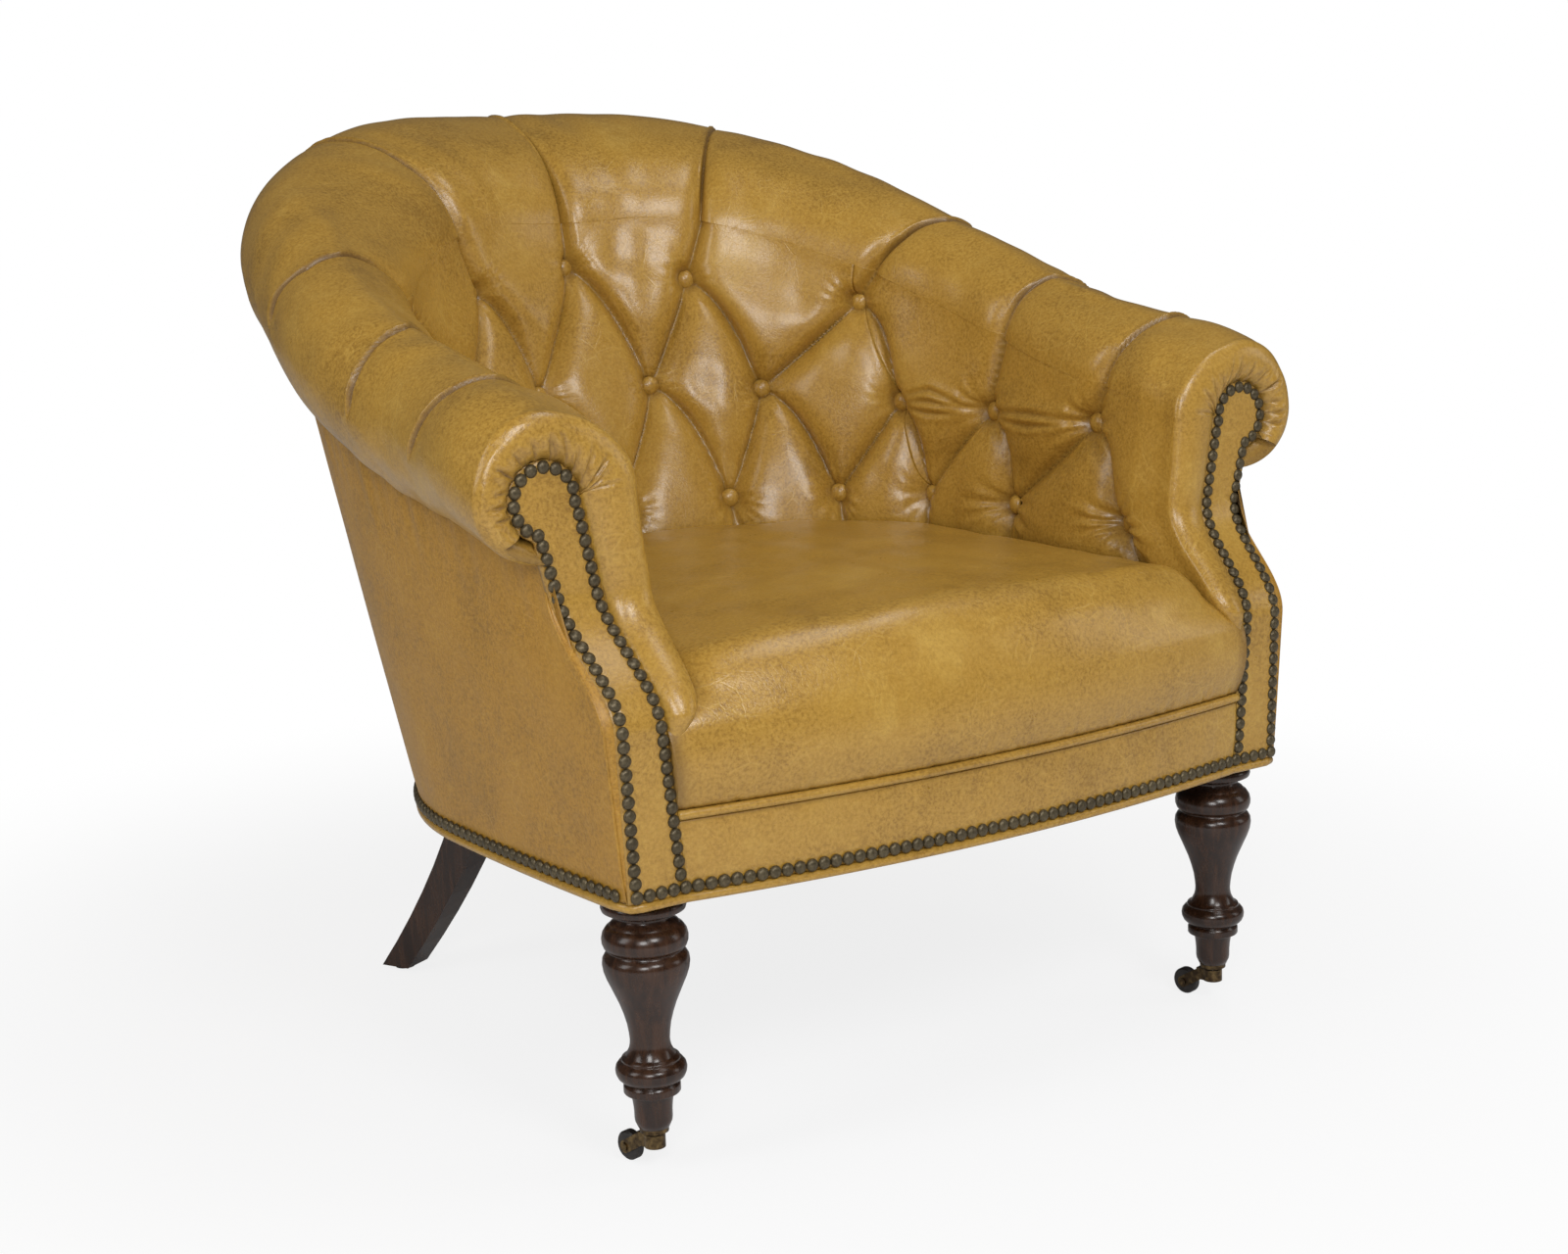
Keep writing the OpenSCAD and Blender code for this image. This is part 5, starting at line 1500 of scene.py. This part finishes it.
    def cushion(self, finish: bpy.types.Material) -> None:
        """Builds the leather over the seat."""
        us = np.sin(np.linspace(-1, 1, 231) * np.pi / 2 * 0.86) / math.sin(np.pi / 2 * 0.86)
        vs = np.concatenate([np.linspace(0, 0.2, 16)[:-1], np.linspace(0.2, 0.5, 46)[:-1],
                             np.linspace(0.5, 1, 190)])
        u, v = np.meshgrid(us, vs, indexing="ij")
        top = self.spot(u, v)
        x, y = top[..., 0].copy(), top[..., 1].copy()
        wave = 0.5 * ripple(x + 0.4 * y, 21, (140, 97, 71)) + 0.45 * ripple(y - 0.3 * x, 22, (120, 83, 59))
        edge = clamp01((1 - np.abs(u)) / 0.08) * clamp01(v / 0.05) * clamp01((1 - v) / 0.05)
        top[..., 2] += wave * edge
        top[..., 1] -= ripple(x, 23, (23, 17, 13)) * bell(v - 0.02, 0.05) * 0.5
        u2, v2 = np.meshgrid(us, np.linspace(1, 0, 12), indexing="ij")
        low = self.spot(u2, v2)
        low[..., 2] = np.where(v2 > 0.12, np.minimum(low[..., 2] - 4, self.floor_z + 6), low[..., 2])
        low[..., 1] += np.where(v2 < 0.5, 6 + 60 * v2, 0)
        sides, back, foot = (1 - np.abs(u)) * 300, (1 - v) * 500, v * 200
        # Painted shade where the leather tucks in at the sides and the back, and at its foot by the cord.
        fold_shade = clamp01(0.75 * bell(sides, 9) + 0.75 * bell(back, 9) + 0.6 * bell(foot, 3))
        cushion = panel("seat_cushion", top, low, fold_shade)
        dress(cushion, finish, Slot.LEATHER, "seat_cover", "seat_foam")

    def band(self, finish: bpy.types.Material) -> None:
        """Builds the band below the seat and the cord between them."""
        L = self.lines
        half = L.face_out_foot - L.face_w - L.nail_edge + 0.6
        xs = np.linspace(half, -half, 241)
        x, k = np.meshgrid(xs, np.linspace(0, 1, 28), indexing="ij")
        z = mix(L.outside_z, L.seam_z - L.welt_d / 2 - L.gap, k)
        swell = 1.6 * np.sin(np.pi * k) ** 0.6 + 0.35 * ripple(x, 24, (61, 37)) * np.sin(np.pi * k)
        wider = x * (Faces().in_x(z) + 0.8) / half
        face = np.stack([wider, L.front_y(x) + L.y0 - swell, z], -1)
        rear = np.stack([wider, L.front_y(x) + L.y0 + L.skin_t, z], -1)[:, ::-9]
        # Painted shade along the band's top under the seat's cord and along its foot.
        fold_shade = clamp01(0.8 * bell((1 - k) * 56, 2.0) + 0.5 * bell(k * 56, 2.5))
        band = dress(panel("front_band_leather", face, rear, fold_shade), finish, Slot.LEATHER, "front_band")
        reach = (float(Faces().in_x(np.array(L.seam_z))) + 0.5) / half
        path = np.stack([xs * reach, L.front_y(xs) + L.y0, np.full(xs.shape, L.seam_z)], -1)
        cord = skin("seat_welt_cord", cord_points(path, L.welt_d / 2, L.welt_flats))
        dress(cord, finish, Slot.LEATHER, "seat_welt")

    def build(self, finish: bpy.types.Material) -> None:
        """Builds the cushion, the band and the cord."""
        self.cushion(finish)
        self.band(finish)


@dataclass(frozen=True)
class Outside:
    """The plain outside leather and the cord round the base."""

    lines: BodyLines = LINES
    fine: float = 4.0
    run: float = 900
    last_t: float = 0.9985
    round_r: float = 3.6

    def corner(self, face: np.ndarray, rear: np.ndarray, fold_shade: np.ndarray
               ) -> Tuple[np.ndarray, np.ndarray, np.ndarray]:
        """Turns a panel round the front corner of the arm to the edge of the arm face."""
        L = self.lines
        z = face[:, 2]
        edge = np.minimum(Faces().out_x(z), L.face_out_x(z) + L.nail_edge) - 4.0
        y = L.face_y(z) + L.y0
        lines, rears, folds = [], [], []
        for a in np.linspace(0, np.pi / 2, 9)[1:]:
            x = edge + (face[:, 0] - edge) * math.cos(a)
            lines.append(np.stack([x, y + self.round_r * (1 - math.sin(a)), z], -1))
            rears.append(rear + np.array([0, 4, 0]))
            # Painted shade as the panel turns round towards the arm face.
            folds.append(clamp01(fold_shade * 0.5 + 0.25 * ease(np.array((a - 1.0) / 0.5))))
        return np.array(lines), np.array(rears), np.array(folds)

    def cover(self, name: str, first: float, last: float) -> bpy.types.Object:
        """Builds one panel of outside leather between two places round the body."""
        L = self.lines
        count = int(abs(last - first) * self.run / self.fine)
        t, k = np.meshgrid(np.linspace(first, last, count), np.linspace(0, 1, 84), indexing="ij")
        s = 1 - np.abs(t)
        z = mix(L.outside_z, L.under_z(s) - 0.8, k)
        inner, outer = L.in_plan(s, z), L.out_plan(s, z)
        way = (outer - inner) / np.linalg.norm(outer - inner, axis=-1, keepdims=True)
        x = t * self.run
        pull = ripple(x, 31, (47, 31, 22)) * bell(1 - k, 0.16) * 0.8
        nails = 0.15 * np.cos(2 * np.pi * x / L.nail_pitch) * bell((z - L.nail_z) / 14, 1.0)
        out = 1.1 * np.sin(np.pi * k) ** 0.7 + pull + 0.3 * ripple(x + 0.3 * z, 32, (160, 90))
        out += nails - 0.6 * bell((z - L.nail_z) / 9, 1)
        face = L.sided(t, outer + way * out[..., None], z)
        rear = L.sided(t, outer - way * L.skin_t, z)[:, ::-21]
        down = (1 - k) * 260
        # Painted shade under the roll at the panel's top and along the row of nails; the rear gets a little.
        fold_shade = clamp01(0.45 * bell(down, 4) + 0.12 * bell(down, 22) + 0.2 * bell(z - L.nail_z, 5))
        if last > L.arm_split:
            more = self.corner(face[-1], rear[-1], fold_shade[-1])
            face, rear, fold_shade = (np.concatenate(pair) for pair in zip((face, rear, fold_shade), more))
        return panel(name, face, rear, fold_shade, 0.3)

    def base_line(self, count: int) -> np.ndarray:
        """The middle of the base cord, as a closed path."""
        L = self.lines
        corner = 8
        xs = np.linspace(-L.base_front_half + corner + 4, L.base_front_half - corner - 4, count)
        front = np.stack([xs, L.front_y(xs) + L.y0], -1)
        turn_in = np.array([[L.base_front_half - corner / 2, corner / 3 - L.face_low + L.y0]])
        t = np.linspace(0.975, -0.975, 2 * count)
        side = L.sided(t, L.base_point(1 - np.abs(t), 0), np.zeros(t.shape))[:, :2]
        path = np.concatenate([front, turn_in, side, turn_in * [-1, 1]])
        return np.concatenate([path, np.full((len(path), 1), L.welt_z)], 1)

    def build(self, outside: bpy.types.Material, leather: bpy.types.Material) -> None:
        """Builds the three panels and the base cord."""
        split = self.lines.arm_split
        back = self.cover("outside_back_leather", -split, split)
        dress(back, outside, Slot.OUTSIDE, "outside_back_cover")
        right = self.cover("right_outside_leather", split, self.last_t)
        for piece in (back, *dress_pair(right, outside, Slot.OUTSIDE, "outside_cover")):
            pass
        path = cord_points(self.base_line(150), self.lines.welt_d / 2, self.lines.welt_flats, True)
        dress(skin("base_welt_cord", path), leather, Slot.LEATHER, "base_welt")


@dataclass(frozen=True)
class Faces:
    """The scrolled panels on the fronts of the arms, and every row of nails."""

    lines: BodyLines = LINES
    panel_r: float = 32.7
    face_t: float = 4.5
    nail_over: float = 0.25
    nail_lift: float = 1.0

    def disc(self, z: np.ndarray) -> np.ndarray:
        """Half the width of the scroll's round end at a height."""
        return np.sqrt(np.maximum(0, self.panel_r ** 2 - (z - self.lines.scroll_z) ** 2))

    def out_x(self, z: np.ndarray) -> np.ndarray:
        """The outer edge of the panel."""
        L = self.lines
        disc = self.disc(z)
        low = np.maximum(L.face_out_x(z) + L.nail_edge, np.where(disc > 0, L.scroll_x + disc, 0))
        return np.where(z > L.scroll_z, L.scroll_x + disc, low)

    def in_x(self, z: np.ndarray) -> np.ndarray:
        """The inner edge of the panel."""
        L = self.lines
        disc = self.disc(z)
        return np.where(z > L.scroll_z, L.scroll_x - disc, L.face_in_x(z) - L.nail_edge)

    def build(self, finish: bpy.types.Material) -> None:
        """Builds both panels."""
        L = self.lines
        zs = np.concatenate([np.linspace(L.outside_z, L.scroll_z - 20, 118)[:-1],
                             L.scroll_z + self.panel_r * np.sin(np.radians(np.linspace(-38, 86, 40)))])
        z, k = np.meshgrid(zs, np.linspace(0, 1, 26), indexing="ij")
        a, b = self.in_x(z), self.out_x(z) + np.where(z > L.scroll_z - 36, 0, 1.0)
        x = mix(a, b, k)
        edge = np.minimum(x - a, b - x)
        puff = 1.8 * arch(edge / 12) - 1.1 * bell(edge - L.nail_edge, 3.2)
        front = np.stack([x, L.face_y(z) + L.y0 - puff, z], -1)
        rear = np.stack([x, L.face_y(z) + L.y0 + self.face_t, z], -1)[:, ::-5]
        # Painted shade along the panel's edges and beside the nails; the rear gets a little.
        fold_shade = clamp01(0.30 * bell(edge, 2.0) + 0.28 * bell(edge - L.nail_edge, 4.5))
        right = panel("right_arm_face_panel", front, rear, fold_shade, 0.12)
        for piece in dress_pair(right, finish, Slot.LEATHER, "arm_face"):
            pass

    def face_path(self) -> np.ndarray:
        """The middle of the row of nails round an arm face."""
        L = self.lines
        up = np.linspace(L.nail_z + L.nail_pitch, L.scroll_z - L.scroll_r - 3, 31)
        angles = np.radians(np.linspace(-80, 192, 61))
        down = np.linspace(L.scroll_z - L.scroll_r * 0.4, L.nail_z + L.nail_pitch, 35)
        return np.concatenate([
            np.stack([L.face_out_x(up), up], -1),
            np.stack([L.scroll_x + L.scroll_r * np.cos(angles),
                      L.scroll_z + L.scroll_r * np.sin(angles)], -1),
            np.stack([L.face_in_x(down), down], -1)])

    def nail_seed(self) -> bmesh.types.BMesh:
        """A domed nail head with few faces."""
        r = self.lines.nail_d / 2 + self.nail_over
        profile = [(0, 0), (r, 0), (r, 0.7), (r * 0.90, 2.0), (r * 0.64, 3.1), (r * 0.30, 3.7), (0, 3.8)]
        return turned(profile, 16)

    def nail_at(self, p: Sequence[float], axis: Sequence[float], spin: float) -> Matrix:
        """Where a nail sits, with its head along an axis."""
        way = Vector(axis).normalized()
        turn = Vector((0, 0, 1)).rotation_difference(way).to_matrix().to_4x4()
        spot = Matrix.Translation((Vector(p) + way * self.nail_lift) * MM)
        return spot @ turn @ Matrix.Rotation(spin, 4, "Z")

    def build_nails(self, finish: bpy.types.Material) -> None:
        """Builds the four rows of nails."""
        L = self.lines
        seed = self.nail_seed()
        rng = np.random.default_rng(5)

        def spot(p: Sequence[float], axis: Sequence[float]) -> Matrix:
            """A nail that is a little crooked, as a hand leaves it."""
            tilt = rng.normal(0, 0.03, 3)
            return self.nail_at(p, [a + b for a, b in zip(axis, tilt)], rng.uniform(0, 6.28))

        places = []
        flat = self.face_path()
        for x, z, _ in walk(np.column_stack([flat, L.face_y(flat[:, 1])]), L.nail_pitch):
            slope = float(L.face_y(np.array(z + 0.5)) - L.face_y(np.array(z - 0.5)))
            places.append(spot((x, float(L.face_y(np.array(z))) + L.y0, z), (0, -1, slope)))
        dress_pair(scattered("right_face_nail_row", seed, places), finish, Slot.NAIL, "face_nails")
        xs = np.linspace(-L.face_out_foot, L.face_out_foot, 400)
        places = []
        for x, y in walk(np.stack([xs, L.front_y(xs)], -1), L.nail_pitch):
            slope = float(L.front_y(np.array(x + 0.5)) - L.front_y(np.array(x - 0.5)))
            places.append(spot((x, y + L.y0 - self.nail_lift, L.nail_z), (slope, -1, 0)))
        dress(scattered("front_nail_row", seed, places), finish, Slot.NAIL, "front_nails")
        t = np.linspace(0.984, -0.984, 1200)
        path = L.sided(t, L.out_plan(1 - np.abs(t), np.full(t.shape, L.nail_z)), np.zeros(t.shape))
        way = L.way_out(1 - np.abs(t))
        way[:, 0] *= np.where(t < 0, -1, 1)
        row = walk(np.concatenate([path[:, :2], way], 1), L.nail_pitch)
        places = [spot((x, y, L.nail_z), (wx, wy, 0.0)) for x, y, wx, wy in row]
        dress(scattered("base_nail_row", seed, places), finish, Slot.NAIL, "base_nails")
        seed.free()


@dataclass(frozen=True)
class Legs:
    """The turned front legs."""

    lines: BodyLines = LINES
    leg_half: float = 315
    flats: int = 96
    # Radius and height of the turning, from the foot up
    foot: Tuple[Tuple[float, float], ...] = (
        (0, 37), (12.3, 37), (13.0, 37.4), (15.4, 42.6), (15.9, 46), (15.9, 52), (16.4, 58), (17.4, 65),
        (18.4, 67.6), (20.0, 68.3), (23.3, 68.6), (23.7, 69.2), (23.7, 74.4), (23.3, 75.4), (21.4, 77.0),
        (21.2, 77.6), (25.0, 79.3), (27.8, 82.1), (29.3, 85.4), (29.7, 88.6), (29.0, 91.9), (27.0, 94.5),
        (24.6, 95.8), (24.1, 96.3), (24.3, 97.4), (24.1, 98.5), (21.2, 99.6), (20.4, 100.6), (19.2, 103.2),
        (17.6, 106.4), (16.7, 110.5), (16.5, 114), (17.0, 120), (18.2, 128), (20.6, 137), (23.4, 145.4),
        (26.6, 153), (29.8, 160.5), (32.9, 167.5), (35.1, 174), (36.0, 180), (35.5, 184.6), (33.6, 188.0),
        (31.2, 189.6), (30.6, 190.6), (30.4, 191.6), (31.4, 192.3), (34.0, 194.4), (35.4, 198.2), (35.6, 202),
        (34.6, 206.4), (32.0, 210.4), (29.6, 212.2), (28.6, 213.0), (28.2, 214.0), (25.6, 215.6), (23.0, 217.6),
        (22.2, 220.0), (23.4, 222.4), (26.6, 224.0), (32.6, 224.8), (34.4, 225.8), (35.2, 228.4), (34.9, 231),
        (33.2, 234.2), (30.2, 236.2), (29.4, 237), (29.4, 238), (0, 238))

    def build(self, finish: bpy.types.Material) -> None:
        """Builds both turned legs; the rear legs keep their solids' own form."""
        for side, word in ((1, "right"), (-1, "left")):
            bm = turned(self.foot, self.flats)
            bmesh.ops.translate(bm, verts=bm.verts, vec=Vector((side * self.leg_half, self.lines.y0, 0)) * MM)
            dress(finished(word + "_turned_leg", bm), finish, Slot.WALNUT, word + "_front_leg")


@dataclass(frozen=True)
class Studio:
    """The plain pale room, its soft lamps and the camera."""

    camera_at: Tuple[float, float, float] = (-1.2271, -1.9949, 0.8216)
    yaw: float = -0.583207
    pitch: float = 0.197399
    roll: float = -0.036513
    lens: float = 54.44
    sensor: float = 36
    room: float = 14.0
    surround: float = 0.25
    mirrored: float = 0.08
    backdrop: float = 1.0
    pale: float = 0.82

    def camera(self) -> None:
        """Sets the photograph's view."""
        cy, sy, cp, sp = math.cos(self.yaw), math.sin(self.yaw), math.cos(self.pitch), math.sin(self.pitch)
        ahead = Vector((-sy * cp, cy * cp, -sp))
        flat = Vector((cy, sy, 0))
        upright = flat.cross(ahead)
        c, s = math.cos(self.roll), math.sin(self.roll)
        right, up = flat * c + upright * s, upright * c - flat * s
        data = bpy.data.cameras.new("camera")
        data.lens, data.sensor_width, data.sensor_fit = self.lens, self.sensor, "HORIZONTAL"
        data.clip_start, data.clip_end = 0.05, 100
        obj = placed("camera", data)
        turn = Matrix((right, up, -ahead)).transposed().to_4x4()
        obj.matrix_world = Matrix.Translation(self.camera_at) @ turn
        bpy.context.scene.camera = obj

    def lamp(self, name: str, at: Tuple[float, float, float], aim: Tuple[float, float, float],
             size: Tuple[float, float], power: float) -> None:
        """Adds one soft lamp."""
        data = bpy.data.lights.new(name, "AREA")
        data.shape, data.size, data.size_y, data.energy = "RECTANGLE", *size, power
        turn = (Vector(aim) - Vector(at)).to_track_quat("-Z", "Y").to_matrix().to_4x4()
        placed(name, data).matrix_world = Matrix.Translation(at) @ turn

    def lamps(self) -> None:
        """Adds the lamps."""
        self.lamp("key", (-1.85, -2.55, 1.75), (0, 0, 0.45), (0.85, 1.0), 32)
        self.lamp("sheen", (-0.30, -2.7, 2.35), (0, 0, 0.45), (0.8, 1.0), 30)
        self.lamp("window", (-2.7, -0.2, 1.8), (0, 0, 0.5), (0.9, 1.6), 16)
        self.lamp("overhead", (0.7, -0.7, 2.6), (0, -0.2, 0.45), (1.2, 0.6), 8)
        self.lamp("right_fill", (2.5, -1.9, 1.3), (0, 0, 0.45), (0.7, 1.5), 6)

    def seen(self, g: Graph) -> bpy.types.NodeSocket:
        """1 for the rays that should find the pale backdrop."""
        path = g.add("ShaderNodeLightPath")
        return g.maths("MAXIMUM", path.outputs["Is Camera Ray"], path.outputs["Is Transmission Ray"])

    def world(self) -> None:
        """Sets an even pale surround, white where the camera sees it."""
        world = bpy.data.worlds.new("pale_room")
        world.use_nodes = True
        bpy.context.scene.world = world
        tree = world.node_tree
        tree.nodes.clear()
        g = Graph(tree)
        glossy = g.add("ShaderNodeLightPath").outputs["Is Glossy Ray"]
        around = g.switch(glossy, self.surround, self.mirrored)
        strength = g.switch(self.seen(g), around, self.backdrop)
        ground = g.add("ShaderNodeBackground", {"Color": (1, 1, 1, 1), "Strength": strength})
        g.plug(g.add("ShaderNodeOutputWorld").inputs[0], ground.outputs[0])

    def floor(self) -> None:
        """Lays a pale floor that fades into the backdrop and keeps the shadow."""
        bm = bmesh.new()
        bmesh.ops.create_grid(bm, x_segments=1, y_segments=1, size=self.room / 2)
        mesh = bpy.data.meshes.new("floor")
        bm.to_mesh(mesh)
        bm.free()
        placed("floor", mesh)
        material, g, shader = new_material("pale_floor")
        shader.inputs["Base Color"].default_value = (0.86, 0.86, 0.87, 1)
        shader.inputs["Roughness"].default_value = 0.75
        shader.inputs["Specular IOR Level"].default_value = 0.15
        place = g.add("ShaderNodeTexCoord").outputs["Object"]
        far = g.add("ShaderNodeVectorMath", {0: place}, operation="LENGTH").outputs["Value"]
        fade = g.maths("MULTIPLY", g.ramp(far, 0.45, 1.35, self.pale, 1), self.seen(g))
        white = g.add("ShaderNodeEmission", {"Color": (1, 1, 1, 1), "Strength": self.backdrop})
        both = g.add("ShaderNodeMixShader", {0: fade, 1: shader.outputs[0], 2: white.outputs[0]})
        out = next(n for n in material.node_tree.nodes if n.type == "OUTPUT_MATERIAL")
        g.plug(out.inputs[0], both.outputs[0])
        mesh.materials.append(material)

    def build(self) -> None:
        """Builds the room, the lamps and the camera."""
        bpy.context.scene.view_settings.view_transform = "Standard"
        self.world()
        self.floor()
        self.lamps()
        self.camera()


# The solids that stay as they are, by finish

KEPT: Dict[Slot, Tuple[str, ...]] = {
    Slot.BEECH: ("front_rail", "left_side_rail", "right_side_rail", "rear_rail", "left_front_block",
                 "right_front_block", "rear_leg_blocks", "left_arm_stump", "right_arm_stump", "left_arm_rail",
                 "right_arm_rail", "top_rail", "back_posts"),
    Slot.STEEL: ("seat_springs", "spring_clips", "leg_bolts", "rear_leg_screws", "left_caster_stem",
                 "right_caster_stem"),
    Slot.WEBBING: ("seat_deck", "back_webbing"),
    Slot.DUST: ("dust_cover",),
    Slot.WALNUT: ("left_rear_leg", "right_rear_leg"),
    Slot.GLIDE: ("rear_glides",),
    Slot.CASTER: ("left_caster_socket", "right_caster_socket", "left_caster_horn", "right_caster_horn",
                  "left_caster_axle", "right_caster_axle"),
    Slot.RUBBER: ("left_caster_wheel", "right_caster_wheel"),
}


def dress_kept(finishes: Dict[Slot, bpy.types.Material]) -> None:
    """Gives every solid that stays its material."""
    for kind, names in KEPT.items():
        for name in names:
            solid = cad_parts[name]
            solid.data.materials.clear()
            solid.data.materials.append(finishes[kind])


def main() -> None:
    """Builds the whole chair and its room."""
    logging.basicConfig(level=logging.INFO, format="%(name)s: %(message)s")
    finishes = build_finishes()
    dress_kept(finishes)
    inside = Inside()
    inside.build(finishes[Slot.LEATHER])
    inside.build_buttons(finishes[Slot.LEATHER])
    Rolls().build(finishes[Slot.LEATHER])
    Seat().build(finishes[Slot.LEATHER])
    Outside().build(finishes[Slot.OUTSIDE], finishes[Slot.LEATHER])
    faces = Faces()
    faces.build(finishes[Slot.LEATHER])
    faces.build_nails(finishes[Slot.NAIL])
    Legs().build(finishes[Slot.WALNUT])
    Studio().build()


if __name__ == "__main__":
    main()
